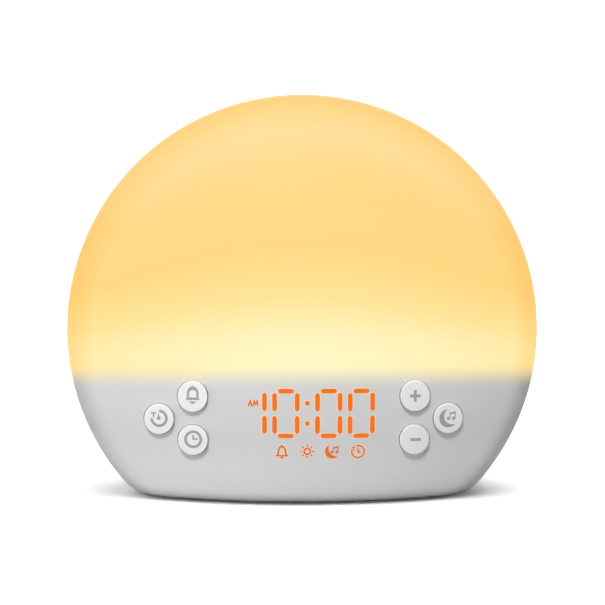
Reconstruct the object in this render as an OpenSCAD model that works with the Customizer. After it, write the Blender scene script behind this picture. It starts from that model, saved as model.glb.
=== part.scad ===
// Sunrise alarm clock: a pebble-shaped lamp standing on a flat base, with a hidden LED clock
// display, six push buttons, a rear speaker and a low-voltage power socket.
// Millimetres. +Z is up, the face looks along -Y, and the origin is on the table, under the
// middle of the housing.

/* [Housing] */
// Radius of the round face, seen from the front
face_r = 95; // [92:0.5:104]
// Height of the face's centre above the table
face_z = 66.8; // [65:0.2:70]
// Radius of the shallow dome across the face
front_dome_r = 170; // [162:2:200]
// Radius of the rolled edge between the face and the side
front_edge_r = 16; // [14:0.5:18]
// Width of the straight band round the side, where the two shells meet
side_band = 4.8; // [4:0.2:8]
// Radius of the dome across the back
back_dome_r = 260; // [240:5:320]
// Radius of the rolled edge between the back and the side
back_edge_r = 30; // [28:0.5:33]
// Radius of the two bottom corners, seen from the front
base_corner_r = 20; // [16:0.5:23]
// Radius of the rolled edge along the front and the back of the base
base_edge_r = 5; // [4.4:0.2:6]
// Wall thickness of the moulded shells
wall = 2.2; // [2:0.1:2.5]
// Width of the shadow groove between the two shells
seam_gap = 0.3; // [0.2:0.05:0.5]
// Reach of the rear cover's lip into the front shell
lip_reach = 3; // [2:0.25:3.5]
// Clearance between moulded parts that slide or nest
fit_gap = 0.2; // [0.15:0.05:0.3]

/* [Feet] */
// Diameter of a rubber foot
foot_d = 10; // [8:0.5:11]
// Thickness of a foot
foot_t = 2; // [1.8:0.1:2.6]
// How far the feet lift the housing off the table
foot_proud = 1.2; // [1:0.1:1.4]
// Distance of each foot from the middle, sideways
foot_x = 42; // [36:1:44]
// Distance of the front feet ahead of the middle
foot_front = 11; // [8:0.5:12]
// Distance of the rear feet behind the middle
foot_rear = 17; // [12:0.5:18]

/* [Buttons] */
// Diameter of a button cap
cap_d = 12.4; // [11.4:0.2:12.8]
// How far a cap stands proud of the face
cap_proud = 1.6; // [1.2:0.1:2]
// Thickness of a cap's front
cap_skin = 1.6; // [1.2:0.1:1.8]
// Thickness of a cap's side wall
cap_wall = 1.1; // [0.9:0.1:1.3]
// Width of the flange that keeps a cap in its hole
flange_w = 1.3; // [1:0.1:1.4]
// Thickness of that flange
flange_t = 1.2; // [1:0.1:1.4]
// Travel of a button when pressed
cap_travel = 0.5; // [0.3:0.05:0.7]
// Sideways distance of the two inner columns of buttons
button_x_inner = 43.9; // [43.5:0.1:45]
// Sideways distance of the outer buttons
button_x_outer = 57.4; // [57:0.1:58.5]
// Height of the upper buttons above the table
button_z_top = 45.8; // [45.6:0.1:47]
// Height of the outer buttons above the table
button_z_mid = 35.7; // [35:0.1:36.5]
// Height of the lower buttons above the table
button_z_low = 27.6; // [27:0.1:28]

/* [Display] */
// Sideways place of the colon
display_x = 1.5; // [0:0.1:1.6]
// Height of the middle of the digits above the table
display_z = 39.35; // [39:0.05:39.8]
// Height of a digit
digit_h = 20.4; // [18:0.2:21]
// Width of a digit
digit_w = 10.75; // [10:0.05:11]
// Width of a lit bar of a digit
bar_w = 1.85; // [1.5:0.05:2]
// Distance from one digit to the next
digit_pitch = 12.9; // [12.7:0.05:13.2]
// Extra distance between the digits on each side of the colon
colon_space = 4; // [3.6:0.1:4.4]
// Sideways place of the middle of the row of symbols
icon_x = 6.5; // [6:0.1:7]
// Height of the row of symbols above the table
icon_z = 23.3; // [22.8:0.1:23.6]
// Distance from one symbol to the next
icon_pitch = 10; // [9.5:0.1:10.2]
// Diameter of a symbol's window
icon_d = 6.2; // [5.6:0.1:6.6]

/* [Circuit boards] */
// Thickness of the circuit boards
board_t = 1.6; // [1.2:0.1:1.8]
// Height of a tactile switch, plunger included
switch_h = 5; // [4.3:0.1:5.5]
// Width of a tactile switch
switch_w = 6; // [5.6:0.1:6.2]
// Width of the lamp's board, front to back
lamp_board_w = 12; // [10:0.5:13]
// Number of light-emitting diodes in the lamp
lamp_led_count = 9; // [7:1:10]
// Distance between the lamp's diodes
lamp_led_pitch = 12; // [11:0.5:12.5]
// Diameter of the backup coin cell
coin_d = 20; // [16:0.5:20.5]

/* [Lamp chamber] */
// Distance from the outside of the housing to the reflector bowl
bowl_inset = 10; // [9.8:0.1:12]
// Wall thickness of the reflector
bowl_t = 1.6; // [1.4:0.1:2]

/* [Speaker] */
// Outer diameter of the speaker's basket
speaker_d = 40; // [36:0.5:41]
// Height of the speaker's axis above the table
speaker_z = 30; // [29:0.2:31]
// Diameter of the speaker's magnet
magnet_d = 26; // [22:0.5:27]
// Travel of the speaker's cone each way
cone_travel = 0.8; // [0.4:0.1:0.9]
// Diameter of a grille hole
grille_hole_d = 2.2; // [1.6:0.1:2.4]
// Distance between grille holes
grille_pitch = 3.6; // [3.4:0.1:4]

/* [Power socket] */
// Distance of the power socket from the side of the housing, at its own height
jack_from_side = 32.3; // [31:0.1:33.5]
// Height of the power socket's axis above the table
jack_z = 16; // [15.8:0.1:17]
// Inner diameter of the socket's barrel
jack_bore_d = 5.8; // [5.6:0.1:6.2]
// Diameter of the socket's centre pin
jack_pin_d = 2.1; // [1.7:0.1:2.5]
// Exposed length of the centre pin
jack_pin_l = 8; // [7:0.25:8.5]
// Diameter of the recess round the socket, for the plug's grip
recess_d = 12; // [11:0.25:12.5]
// Depth of that recess
recess_depth = 5; // [4.6:0.1:5.2]

/* [Hidden] */
$fn = 96;
far = 400;          // longer than anything in the clock
blend = 0.1;        // how far a rolled base edge overshoots, so that it crosses the wall cleanly
ease = 0.01;        // the same for a dome and its rolled edge
touch = 0.05;       // gap between pieces that rest on each other's curved faces

// ---- derived sizes of the housing ----
base_z = foot_proud;
base_drop = face_z - base_z;
front_edge_cr = face_r - front_edge_r;
back_edge_cr = face_r - back_edge_r;
front_depth = front_dome_r - sqrt(pow(front_dome_r - front_edge_r, 2) - pow(front_edge_cr, 2));
back_depth = back_dome_r - sqrt(pow(back_dome_r - back_edge_r, 2) - pow(back_edge_cr, 2));
body_d = front_depth + side_band + back_depth;
front_edge_y = front_depth - body_d / 2;
back_edge_y = front_edge_y + side_band;
front_dome_y = front_dome_r - body_d / 2;
back_dome_y = body_d / 2 - back_dome_r;
front_edge_a = asin(front_edge_cr / (front_dome_r - front_edge_r));
back_edge_a = asin(back_edge_cr / (back_dome_r - back_edge_r));
seam_y = (front_edge_y + back_edge_y) / 2;

// Depth of the face, and of the back, at a distance r from the face's axis
function front_y(r, inset = 0) = front_dome_y - sqrt(pow(front_dome_r - inset, 2) - r * r);
function back_y(r, inset = 0) =
    r < (back_dome_r - inset) * sin(back_edge_a)
        ? back_dome_y + sqrt(pow(back_dome_r - inset, 2) - r * r)
        : back_edge_y + sqrt(pow(back_edge_r - inset, 2) - pow(r - back_edge_cr, 2));
function from_axis(x, z) = norm([x, z - face_z]);

// ---- buttons and switches: name order is alarm, timer, clock, plus, minus, sleep sounds ----
cap_r = cap_d / 2;
flange_r = cap_r + flange_w;
button_at = [
    [-button_x_inner, button_z_top], [-button_x_outer, button_z_mid], [-button_x_inner, button_z_low],
    [button_x_inner, button_z_top], [button_x_inner, button_z_low], [button_x_outer, button_z_mid]];
outer_button_r = from_axis(button_x_outer, button_z_mid);
board_clear = 1.4;
board_y = front_y(outer_button_r + flange_r, wall + fit_gap) + flange_t + cap_travel + board_clear;
plunger_r = 1.7;
plunger_l = 2.6;
plunger_y = board_y - switch_h;
stem_r = 2;

// ---- shelf, boards and lamp ----
shelf_clear = 1;
shelf_z = button_z_top + flange_r + shelf_clear;
shelf_top = shelf_z + bowl_t;
board_bottom = 17;
board_top = button_z_top + switch_w / 2 + 1.7;
board_back = board_y + board_t;
board_side = 10.6;
board_half = button_x_outer + board_side;
post_inset = 3.5;
post_from_side = 6;
board_edge_r = sqrt(pow(front_dome_r - wall, 2) - pow(front_dome_y - board_y, 2)) - 3;
post_r = 2.8;
pilot_r = 1.05;
screw_gap = 0.05;
lamp_board_l = lamp_led_count * lamp_led_pitch;
lamp_board_y = front_y(from_axis(lamp_board_l / 2, shelf_top), wall) + lamp_board_w / 2 + 1;
lamp_slot = [8, 5];
lamp_slot_at = [-52.5, -6];
lamp_led_size = [5, 5, 1.5];
lamp_window_r = 2;

// ---- touch foil ----
foil_half = 22;
foil_near = 3.4;
foil_far = 14;
foil_t = 0.3;

// ---- housing screws ----
rim_screw_inset = 5;
rim_screw_r = face_r - rim_screw_inset;
rim_screw_a = [-88, -32, 32, 88];
tower_r = 3.8;
head_r = 2.7;
head_h = 2;
shank_r = 1.2;
rim_seat = 6.8;
rim_seat_y = seam_y + rim_seat;
base_seat = 10.8;
base_seat_y = seam_y + base_seat;
screw_bite = 7;

// ---- reflector screws ----
bowl_screw_at = [[0, 50], [-48, 10], [48, 10]];     // measured from the face's axis
bowl_pad_y = back_y(50, bowl_inset) + 2;
bowl_seat_y = bowl_pad_y - 2.6;

// ---- speaker: every depth is measured from the face of its mounting ring ----
speaker_r = speaker_d / 2;
speaker_y = back_y(from_axis(0, speaker_z - speaker_r), wall) - 3;
ear_at = speaker_r + 3.5;
ear_a = [45, 135, 225, 315];
ear_r = 3.4;
ear_post_r = 2.6;
gasket_t = 0.8;
gasket_w = 1.6;
frame_t = 1;
rim_w = 2.8;
basket_l = 12;
basket_t = 0.8;
basket_floor_r = 12.5;
spider_step = 1;
spider_t = 0.4;
plate_t = 2;
magnet_t = 6;
gap_r = 5.4;
pole_r = 4.4;
coil_r = 4.95;
coil_t = 0.25;
cone_neck_r = 5.3;
roll_w = 2;
cone_rim_r = speaker_r - rim_w - roll_w;
cone_t = 0.6;
cone_gap = 0.1;
speaker_front = speaker_y - gasket_t;
basket_back = speaker_front - basket_l;
plate_y = basket_back - plate_t;
magnet_y = plate_y - magnet_t;
yoke_y = magnet_y - plate_t;
cone_neck_y = basket_back + basket_t + spider_step + spider_t + cone_travel + 0.4;
grille_r = speaker_r - 4;
terminal_l = 5;
terminal_x = magnet_d / 2 + 2;

// ---- power socket ----
jack_x = sqrt(pow(face_r, 2) - pow(face_z - jack_z, 2)) - jack_from_side;
recess_floor = back_y(from_axis(jack_x, jack_z)) - recess_depth;
recess_skin = 1.6;
jack_face = recess_floor - recess_skin;
jack_w = 9;
jack_top = 5;
jack_l = 12.8;
jack_nose_r = 3.9;
jack_root_l = 1;
power_board_top = jack_z - 5.8;
power_board_size = [18, 16];
power_board_front = jack_face - jack_l - 5;
power_post_at = [[jack_x - 6.8, power_board_front + 2.6], [jack_x + 6.8, power_board_front + 2.6]];

// ---- base screws: half-way between the speaker's lower ears and the power board ----
base_screw_z = 9;
ear_reach = ear_at * sin(45) + ear_r;
base_screw_x = (ear_reach + jack_x - power_board_size[0] / 2) / 2 - 0.5;
base_screw_at = [[-base_screw_x, base_screw_z], [base_screw_x, base_screw_z]];

// ---- display ----
icon_count = 4;
function icon_at(i) = icon_x + (i - (icon_count - 1) / 2) * icon_pitch;
housing_w = 4 * digit_pitch + colon_space + 1.4;
housing_z = [icon_z - icon_d / 2 - 1.6, display_z + digit_h / 2 + 1.6];
digit_at = [-digit_pitch * 1.5 - colon_space / 2, -digit_pitch / 2 - colon_space / 2,
            digit_pitch / 2 + colon_space / 2, digit_pitch * 1.5 + colon_space / 2];
bar_x = (digit_w - bar_w) / 2;
bar_z = (digit_h - bar_w) / 2;
bar_gap = 0.9;
upright_l = bar_z - bar_w + bar_gap / 2 - 0.1;
upright_z = bar_z / 2 + 0.1;
cross_l = digit_w - 2 * bar_w - bar_gap + 0.25;
dot_r = 1;
legend_size = [4.6, 3.4];
legend_x = digit_at[0];
legend_z = upright_z - 0.4;

// ---- posts that carry the main board: two beside the display, two near the upper corners ----
post_clear = 3.4;
inner_post_x = display_x + housing_w / 2 + post_clear;
outer_post_x = board_half - post_from_side;
board_post_at = [
    [-inner_post_x, board_bottom + post_inset], [inner_post_x, board_bottom + post_inset],
    [-outer_post_x, board_top - post_inset], [outer_post_x, board_top - post_inset]];

// ---- routes of the internal leads, from connector to load ----
lead_d = 1.2;
lead_pair = 1.5;
speaker_route = [[20, -8.6, 24], [20, -7, 24], [20, -5.4, 24], [20.6, 0, 26], [21.5, 7, 29],
                 [21, 12, 30], [19, 14.2, 30], [17.5, 14.2, 30], [16.05, 14.2, 30]];
lamp_route = [[-52.5, -8.6, 40], [-52.5, -7, 40], [-52.5, -5.4, 40], [-52.5, -3.4, 42.5], [-52.5, -3.6, 48],
              [-52.5, -6, 55], [-52.5, -9.5, 60], [-52.5, -15, 62.6], [-52.5, -20.5, 62.2],
              [-52.5, -22.6, 60], [-52.5, -22.6, 58.8], [-52.5, -22.6, 57.55]];
power_route = [[48, -8.6, 30], [48, -7, 30], [48, -5.4, 30], [48, -1, 26.6], [48, 1, 20],
               [48, 2.4, 15], [48, 4.6, 13], [48, 5.8, 13], [48, 6.95, 13]];
touch_route = [[8, -8.6, 46], [8, -7.1, 46], [8, -5.6, 46], [8, -3.4, 47], [8, 0, 49.8], [8, 6, 50.4],
               [8, 16, 50.4], [8, 26, 50.4], [8, 31.4, 52], [8, 34, 58], [8, 34.8, 68], [8, 34.2, 85],
               [8, 32, 104], [8, 29, 121], [8, 26, 134], [8, 22.4, 143], [8, 17.4, 148.8],
               [8, 13, 152.6], [8, 11.4, 154.6], [8, 11.8, 155.6], [8, 12.2, 156.55]];

// ---- parts on the back of the main board ----
connector_size = [6, 5];
connector_at = [speaker_route[0], lamp_route[0], power_route[0], touch_route[0]];
coin_at = [-34, 36.5];
coin_t = 3.2;
chip_w = 12;
chip_t = 1.5;
chip_at = [-6, 33];
small_chip_size = [5, 4];
small_chip_at = [[28.5, 32], [10.5, 38], [0.5, 22]];
capacitor_d = 6.4;
capacitor_l = 7;
capacitor_at = [[24, 42], [34, 42]];

// ---------------------------------------------------------------- helpers

// A rod along Y, from depth y0 to y1
module rod(x, z, r, y0, y1) {
    translate([x, y0, z]) rotate([-90, 0, 0]) cylinder(r = r, h = y1 - y0);
}

// A ring along Y
module ring(x, z, r_out, r_in, y0, y1) {
    difference() {
        rod(x, z, r_out, y0, y1);
        rod(x, z, r_in, y0 - 1, y1 + 1);
    }
}

// A cone along Y, radius r0 at depth y0 and r1 at y1
module taper(x, z, r0, r1, y0, y1) {
    translate([x, y0, z]) rotate([-90, 0, 0]) cylinder(r1 = r0, r2 = r1, h = y1 - y0);
}

// A flat outline drawn in X and Z, made solid from depth y0 to y1
module slab(y0, y1) {
    translate([0, y1, 0]) rotate([90, 0, 0]) linear_extrude(height = y1 - y0) children();
}

// A block from corner a to corner b
module block(a, b) {
    translate(a) cube(b - a);
}

// The ball that the face's dome is cut from, and the back's, both smaller by inset
module front_ball(inset) {
    translate([0, front_dome_y, face_z]) sphere(r = front_dome_r - inset);
}

module back_ball(inset) {
    translate([0, back_dome_y, face_z]) sphere(r = back_dome_r - inset);
}

// Half of the housing's section: X is the distance from the face's axis and Y the depth.
// Each dome is lower than its rolled edge by ease, so that the two arcs cross where they meet.
module pebble_profile(inset) {
    side = face_r - inset;
    // dome of the face
    intersection() {
        translate([0, front_dome_y]) circle(r = front_dome_r - inset - ease);
        polygon([[0, front_edge_y], [0, -far],
                 [front_edge_cr + far * tan(front_edge_a), -far], [front_edge_cr, front_edge_y]]);
    }
    // rolled edge of the face
    intersection() {
        translate([front_edge_cr, front_edge_y]) circle(r = front_edge_r - inset);
        polygon([[0, front_edge_y], [0, -far], [far, -far], [far, front_edge_y]]);
    }
    // straight band round the side
    polygon([[0, front_edge_y], [side, front_edge_y], [side, back_edge_y], [0, back_edge_y]]);
    // rolled edge of the back
    intersection() {
        translate([back_edge_cr, back_edge_y]) circle(r = back_edge_r - inset);
        polygon([[0, back_edge_y], [far, back_edge_y], [far, far], [0, far]]);
    }
    // dome of the back
    intersection() {
        translate([0, back_dome_y]) circle(r = back_dome_r - inset - ease);
        polygon([[0, back_edge_y], [back_edge_cr, back_edge_y],
                 [back_edge_cr + far * tan(back_edge_a), far], [0, far]]);
    }
}

// The round pebble, before its base is cut flat
module pebble(inset) {
    translate([0, 0, face_z]) rotate([-90, 0, 0]) rotate_extrude() pebble_profile(inset);
}

// The region above a level floor that ends in a corner of radius r round c, and widens above angle a
module toe(c, r, a, start) {
    translate(c) circle(r = r);
    polygon([[start, c[1] - r], [c[0], c[1] - r], c, c + far * [cos(a), sin(a)], [far, far], [start, far]]);
}

// Everything above the base, with its two rounded bottom corners
module base_corners(inset) {
    c = [sqrt(pow(face_r - base_corner_r + blend, 2) - pow(base_drop - base_corner_r, 2)),
         base_z + base_corner_r];
    a = atan2(c[1] - face_z, c[0]);
    slab(-far, far) {
        toe(c, base_corner_r - inset, a, 0);
        mirror([1, 0]) toe(c, base_corner_r - inset, a, 0);
    }
}

// Everything inside the rolled base edge of a dome with radius dome_r and centre depth dome_y
module base_roll(dome_r, dome_y, inset) {
    c = [sqrt(pow(dome_r - base_edge_r + blend, 2) - pow(base_drop - base_edge_r, 2)), base_z + base_edge_r];
    a = atan2(c[1] - face_z, c[0]);
    translate([0, dome_y, 0]) rotate_extrude() toe(c, base_edge_r - inset, a, 0);
}

// The whole housing as one solid, smaller by inset all round
module housing_form(inset) {
    intersection() {
        pebble(inset);
        base_corners(inset);
        base_roll(front_dome_r, front_dome_y, inset);
        base_roll(back_dome_r, back_dome_y, inset);
    }
}

// The part of a solid between two depths
module between(y0, y1) {
    intersection() {
        children();
        block([-far, y0, -far], [far, y1, far]);
    }
}

// A place on the rim, at angle a from the top
function rim_at(a) = [rim_screw_r * sin(a), face_z + rim_screw_r * cos(a)];

module each_foot() {
    for (x = [-foot_x, foot_x]) for (y = [-foot_front, foot_rear]) translate([x, y, 0]) children();
}

// Shallow pockets that the feet are stuck into
module foot_pockets() {
    each_foot() translate([0, 0, base_z - 1])
        cylinder(r = foot_d / 2 + fit_gap, h = 1 + foot_t - foot_proud);
}

// A pan-head screw along Y: its head's seat is at depth seat, and it points towards dir (1 or -1)
module screw(x, z, seat, length, dir, r = shank_r, head = head_r, h = head_h) {
    translate([x, seat, z]) rotate([dir > 0 ? -90 : 90, 0, 0]) {
        cylinder(r = r, h = length);
        difference() {
            translate([0, 0, -h]) cylinder(r = head, h = h);
            for (turn = [0, 90]) rotate([0, 0, turn])
                translate([-head * 0.6, -0.3, -h - 1]) cube([head * 1.2, 0.6, 1 + h * 0.6]);
        }
    }
}

// Points on a smooth curve through a list of places
function along(p, i, t) =
    let (n = len(p) - 1, a = p[max(i - 1, 0)], b = p[i], c = p[min(i + 1, n)], d = p[min(i + 2, n)])
    0.5 * (2 * b + (c - a) * t + (2 * a - 5 * b + 4 * c - d) * t * t + (3 * b - a - 3 * c + d) * t * t * t);
function smooth(p, steps) =
    [for (i = [0 : len(p) - 2]) for (s = [0 : steps - 1]) along(p, i, s / steps), p[len(p) - 1]];
function unit(v) = v / norm(v);

// A round lead swept along a route, with its section kept square to side
module lead(route, d, side) {
    sides = 8;
    p = smooth(route, 4);
    n = len(p);
    t = [for (i = [0 : n - 1]) unit(p[min(i + 1, n - 1)] - p[max(i - 1, 0)])];
    u = [for (i = [0 : n - 1]) unit(cross(t[i], side))];
    v = [for (i = [0 : n - 1]) cross(t[i], u[i])];
    points = [for (i = [0 : n - 1]) for (k = [0 : sides - 1])
        p[i] + d / 2 * (cos(360 * k / sides) * u[i] + sin(360 * k / sides) * v[i])];
    faces = [
        [for (k = [0 : sides - 1]) k],
        for (i = [0 : n - 2]) for (k = [0 : sides - 1])
            let (a = i * sides, b = a + sides, next = (k + 1) % sides) [a + k, b + k, b + next, a + next],
        [for (k = [sides - 1 : -1 : 0]) (n - 1) * sides + k]];
    polyhedron(points, faces, convexity = 4);
}

// Two leads side by side
module lead_pair(route, side) {
    for (s = [-0.5, 0.5]) lead([for (q = route) q + s * lead_pair * side], lead_d, side);
}

// ---------------------------------------------------------------- shells

// Translucent front moulding: the lamp's diffuser above, the clock's face below
module front_shell() {
    color([0.98, 0.86, 0.6]) difference() {
        union() {
            between(-far, seam_y) difference() {
                housing_form(0);
                housing_form(wall);
            }
            intersection() {
                housing_form(wall / 2);
                union() {
                    for (a = rim_screw_a)
                        rod(rim_at(a)[0], rim_at(a)[1], tower_r - 0.4, front_edge_y - 11, seam_y);
                    for (p = base_screw_at) rod(p[0], p[1], tower_r - 0.4, -far / 4, seam_y);
                    for (p = board_post_at) rod(p[0], p[1], post_r, -far / 4, board_y);
                }
            }
        }
        for (b = button_at) rod(b[0], b[1], cap_r + fit_gap, -far / 4, board_y);
        for (a = rim_screw_a)
            rod(rim_at(a)[0], rim_at(a)[1], shank_r + screw_gap, seam_y - screw_bite - 1, seam_y + 1);
        for (p = base_screw_at) rod(p[0], p[1], shank_r + screw_gap, seam_y - screw_bite - 1, seam_y + 1);
        for (p = board_post_at) rod(p[0], p[1], pilot_r, board_y - 4.6, board_y + 1);
        foot_pockets();
    }
}

// White rear moulding with the lip, screw towers, speaker mount, grille and socket recess
module rear_cover() {
    color([0.9, 0.9, 0.9]) difference() {
        union() {
            between(seam_y + seam_gap, far) difference() {
                housing_form(0);
                housing_form(wall);
            }
            between(seam_y - lip_reach, seam_y + seam_gap + 1) difference() {
                housing_form(wall + fit_gap);
                housing_form(wall + fit_gap + 1.4);
            }
            between(seam_y + seam_gap, seam_y + 4) difference() {
                housing_form(wall - 0.4);
                housing_form(wall + fit_gap + 1.4);
            }
            intersection() {
                housing_form(wall / 2);
                union() {
                    for (a = rim_screw_a)
                        rod(rim_at(a)[0], rim_at(a)[1], tower_r, seam_y + seam_gap, far / 4);
                    for (p = base_screw_at) rod(p[0], p[1], tower_r, seam_y + seam_gap, far / 4);
                    for (p = bowl_screw_at)
                        rod(p[0], face_z + p[1], tower_r - 0.4, bowl_pad_y + fit_gap, far / 4);
                    ring(0, speaker_z, speaker_r, speaker_r - 2.4, speaker_y, far / 4);
                    each_ear() rod(0, ear_at, ear_post_r, speaker_front, far / 4);
                    rod(jack_x, jack_z, recess_d / 2 + 1.6, jack_face, far / 4);
                    for (p = power_post_at)
                        translate([p[0], p[1], 0]) cylinder(r = 2.4, h = power_board_top - board_t);
                }
            }
        }
        for (a = rim_screw_a) {
            rod(rim_at(a)[0], rim_at(a)[1], shank_r + 0.5, seam_y - lip_reach - 1, far / 4);
            rod(rim_at(a)[0], rim_at(a)[1], head_r + fit_gap, rim_seat_y, far / 4);
        }
        // the lip is cut away round the front shell's screw posts
        for (a = rim_screw_a)
            rod(rim_at(a)[0], rim_at(a)[1], tower_r, seam_y - lip_reach - 1, seam_y + seam_gap);
        for (p = base_screw_at) {
            rod(p[0], p[1], shank_r + 0.5, seam_y - lip_reach - 1, far / 4);
            rod(p[0], p[1], head_r + fit_gap, base_seat_y, far / 4);
        }
        for (p = bowl_screw_at)
            rod(p[0], face_z + p[1], shank_r + screw_gap, bowl_pad_y - 1, bowl_seat_y + 10);
        each_ear() rod(0, ear_at, pilot_r, speaker_y - 3, speaker_y + 4);
        for (p = power_post_at) translate([p[0], p[1], base_z + wall]) cylinder(r = pilot_r, h = far / 4);
        rod(jack_x, jack_z, recess_d / 2, recess_floor, far / 4);
        rod(jack_x, jack_z, jack_nose_r + fit_gap, jack_face - 1, far / 4);
        grille_holes();
        foot_pockets();
    }
}

// Staggered round holes in front of the speaker
module grille_holes() {
    rows = floor(grille_r / (grille_pitch * sin(60)));
    for (row = [-rows : rows]) {
        z = row * grille_pitch * sin(60);
        shift = row % 2 == 0 ? 0 : grille_pitch / 2;
        columns = floor(grille_r / grille_pitch) + 1;
        for (column = [-columns : columns]) {
            x = column * grille_pitch + shift;
            if (norm([x, z]) < grille_r - grille_hole_d / 2)
                rod(x, speaker_z + z, grille_hole_d / 2, speaker_y, far / 4);
        }
    }
}

// Four self-adhesive rubber feet in shallow pockets
module feet() {
    color([0.25, 0.25, 0.27]) each_foot() cylinder(r = foot_d / 2, h = foot_t);
}

// ---------------------------------------------------------------- lamp

// White bowl behind the lamp, with the shelf that parts the lamp from the clock
module reflector() {
    color([0.95, 0.94, 0.9]) difference() {
        union() {
            intersection() {
                between(front_edge_y + 1, far) difference() {
                    pebble(bowl_inset);
                    pebble(bowl_inset + bowl_t);
                }
                block([-far, -far, shelf_z], [far, far, far]);
            }
            intersection() {
                union() {
                    between(-far, front_edge_y - 4) pebble(wall + fit_gap + 0.4);
                    between(front_edge_y - 4.1, far) pebble(bowl_inset);
                }
                block([-far, -far, shelf_z], [far, far, shelf_top]);
            }
            intersection() {
                for (p = bowl_screw_at) rod(p[0], face_z + p[1], 3.6, bowl_seat_y, bowl_pad_y);
                difference() {
                    pebble(0);
                    between(-far, far) pebble(bowl_inset + bowl_t + 1.4);
                }
            }
        }
        for (p = bowl_screw_at) {
            rod(p[0], face_z + p[1], shank_r + 0.3, bowl_seat_y - 8, bowl_pad_y + 1);
            rod(p[0], face_z + p[1], head_r + 0.3, bowl_seat_y - 12, bowl_seat_y);
        }
        translate([lamp_slot_at[0] - lamp_slot[0] / 2, lamp_slot_at[1] - lamp_slot[1] / 2, shelf_z - 1])
            cube([lamp_slot[0], lamp_slot[1], bowl_t + 2]);
        // room for the front shell's screw posts
        for (a = rim_screw_a) rod(rim_at(a)[0], rim_at(a)[1], tower_r + 0.2, -far / 4, back_edge_y + 2);
    }
}

// Opaque sheet that keeps the lamp's light out of the clock's face
module light_shield() {
    color([0.3, 0.3, 0.32]) difference() {
        intersection() {
            difference() {
                front_ball(wall + 0.3);
                front_ball(wall + 1.1);
            }
            slab(-far, board_y - 3) polygon([
                [-board_half, base_z + 12], [board_half, base_z + 12],
                [board_half, shelf_z - 0.4], [-board_half, shelf_z - 0.4]]);
        }
        for (b = button_at) rod(b[0], b[1], flange_r + 0.7, -far / 4, board_y);
        for (p = board_post_at) rod(p[0], p[1], post_r + 0.6, -far / 4, board_y);
        block([display_x - housing_w / 2 - 0.6, -far, housing_z[0] - 0.6],
              [display_x + housing_w / 2 + 0.6, far, housing_z[1] + 0.6]);
    }
}

// Narrow board lying on the shelf
module lamp_board() {
    color([0.93, 0.93, 0.88])
        block([-lamp_board_l / 2, lamp_board_y - lamp_board_w / 2, shelf_top],
              [lamp_board_l / 2, lamp_board_y + lamp_board_w / 2, shelf_top + board_t]);
}

// Warm-white diodes along the lamp's board, with their phosphor windows
module lamp_leds() {
    size = lamp_led_size;
    color([1, 0.85, 0.3]) for (i = [0 : lamp_led_count - 1])
        translate([(i - (lamp_led_count - 1) / 2) * lamp_led_pitch, lamp_board_y, shelf_top + board_t])
            difference() {
                translate([-size[0] / 2, -size[1] / 2, 0]) cube(size);
                translate([0, 0, size[2] - 0.4])
                    cylinder(r1 = lamp_window_r * 0.8, r2 = lamp_window_r, h = 0.5);
            }
}

// Copper foil under the top of the housing that senses a touch
module touch_foil() {
    color([0.75, 0.45, 0.3]) intersection() {
        difference() {
            pebble(wall + 2 * touch);
            pebble(wall + 2 * touch + foil_t);
        }
        block([-foil_half, back_edge_y + foil_near, face_z], [foil_half, back_edge_y + foil_far, far]);
    }
}

// ---------------------------------------------------------------- clock boards and display

module main_board() {
    color([0.1, 0.4, 0.22]) difference() {
        intersection() {
            slab(board_y, board_back) polygon([
                [-board_half, board_bottom], [board_half, board_bottom],
                [board_half, board_top], [-board_half, board_top]]);
            rod(0, face_z, board_edge_r, board_y, board_back);
        }
        for (p = board_post_at) rod(p[0], p[1], shank_r + 0.3, board_y - 1, board_back + 1);
    }
}

// One bar of a digit: length l along X or Z, with bevelled ends
module bar(l, upright) {
    h = bar_w / 2;
    tip = h * 0.55;
    rotate(upright ? 90 : 0) polygon([
        [-l / 2, -h + tip], [-l / 2 + tip, -h], [l / 2 - tip, -h], [l / 2, -h + tip],
        [l / 2, h - tip], [l / 2 - tip, h], [-l / 2 + tip, h], [-l / 2, h - tip]]);
}

// The bars of a digit: the first digit of a twelve-hour clock needs only its two right-hand bars
module digit_bars(only_one) {
    for (z = [-upright_z, upright_z]) {
        translate([bar_x, z]) bar(upright_l, true);
        if (!only_one) translate([-bar_x, z]) bar(upright_l, true);
    }
    if (!only_one) for (z = [-bar_z, 0, bar_z]) translate([0, z]) bar(cross_l, false);
}

// Every window of the display, drawn in X and Z
module display_windows() {
    translate([display_x, display_z]) {
        for (i = [0 : 3]) translate([digit_at[i], 0]) digit_bars(i == 0);
        for (z = [-upright_z + 0.5, upright_z - 0.5]) translate([0, z]) circle(r = dot_r);
        for (z = [-legend_z, legend_z]) translate([legend_x, z]) square(legend_size, center = true);
    }
    for (i = [0 : icon_count - 1])
        translate([icon_at(i), icon_z]) circle(r = icon_d / 2);
}

// Black light-guide frame between the board and the face
module display_housing() {
    color([0.15, 0.15, 0.16]) difference() {
        intersection() {
            block([display_x - housing_w / 2, -far / 4, housing_z[0]],
                  [display_x + housing_w / 2, board_y, housing_z[1]]);
            front_ball(wall + 0.3);
        }
        slab(-far / 4, board_y + 1) display_windows();
    }
}

// Milky light guides that fill the display's windows
module display_light_guides() {
    color([0.98, 0.55, 0.2]) intersection() {
        slab(-far / 4, board_y - 1.2) display_windows();
        front_ball(wall + 0.6);
    }
}

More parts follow.
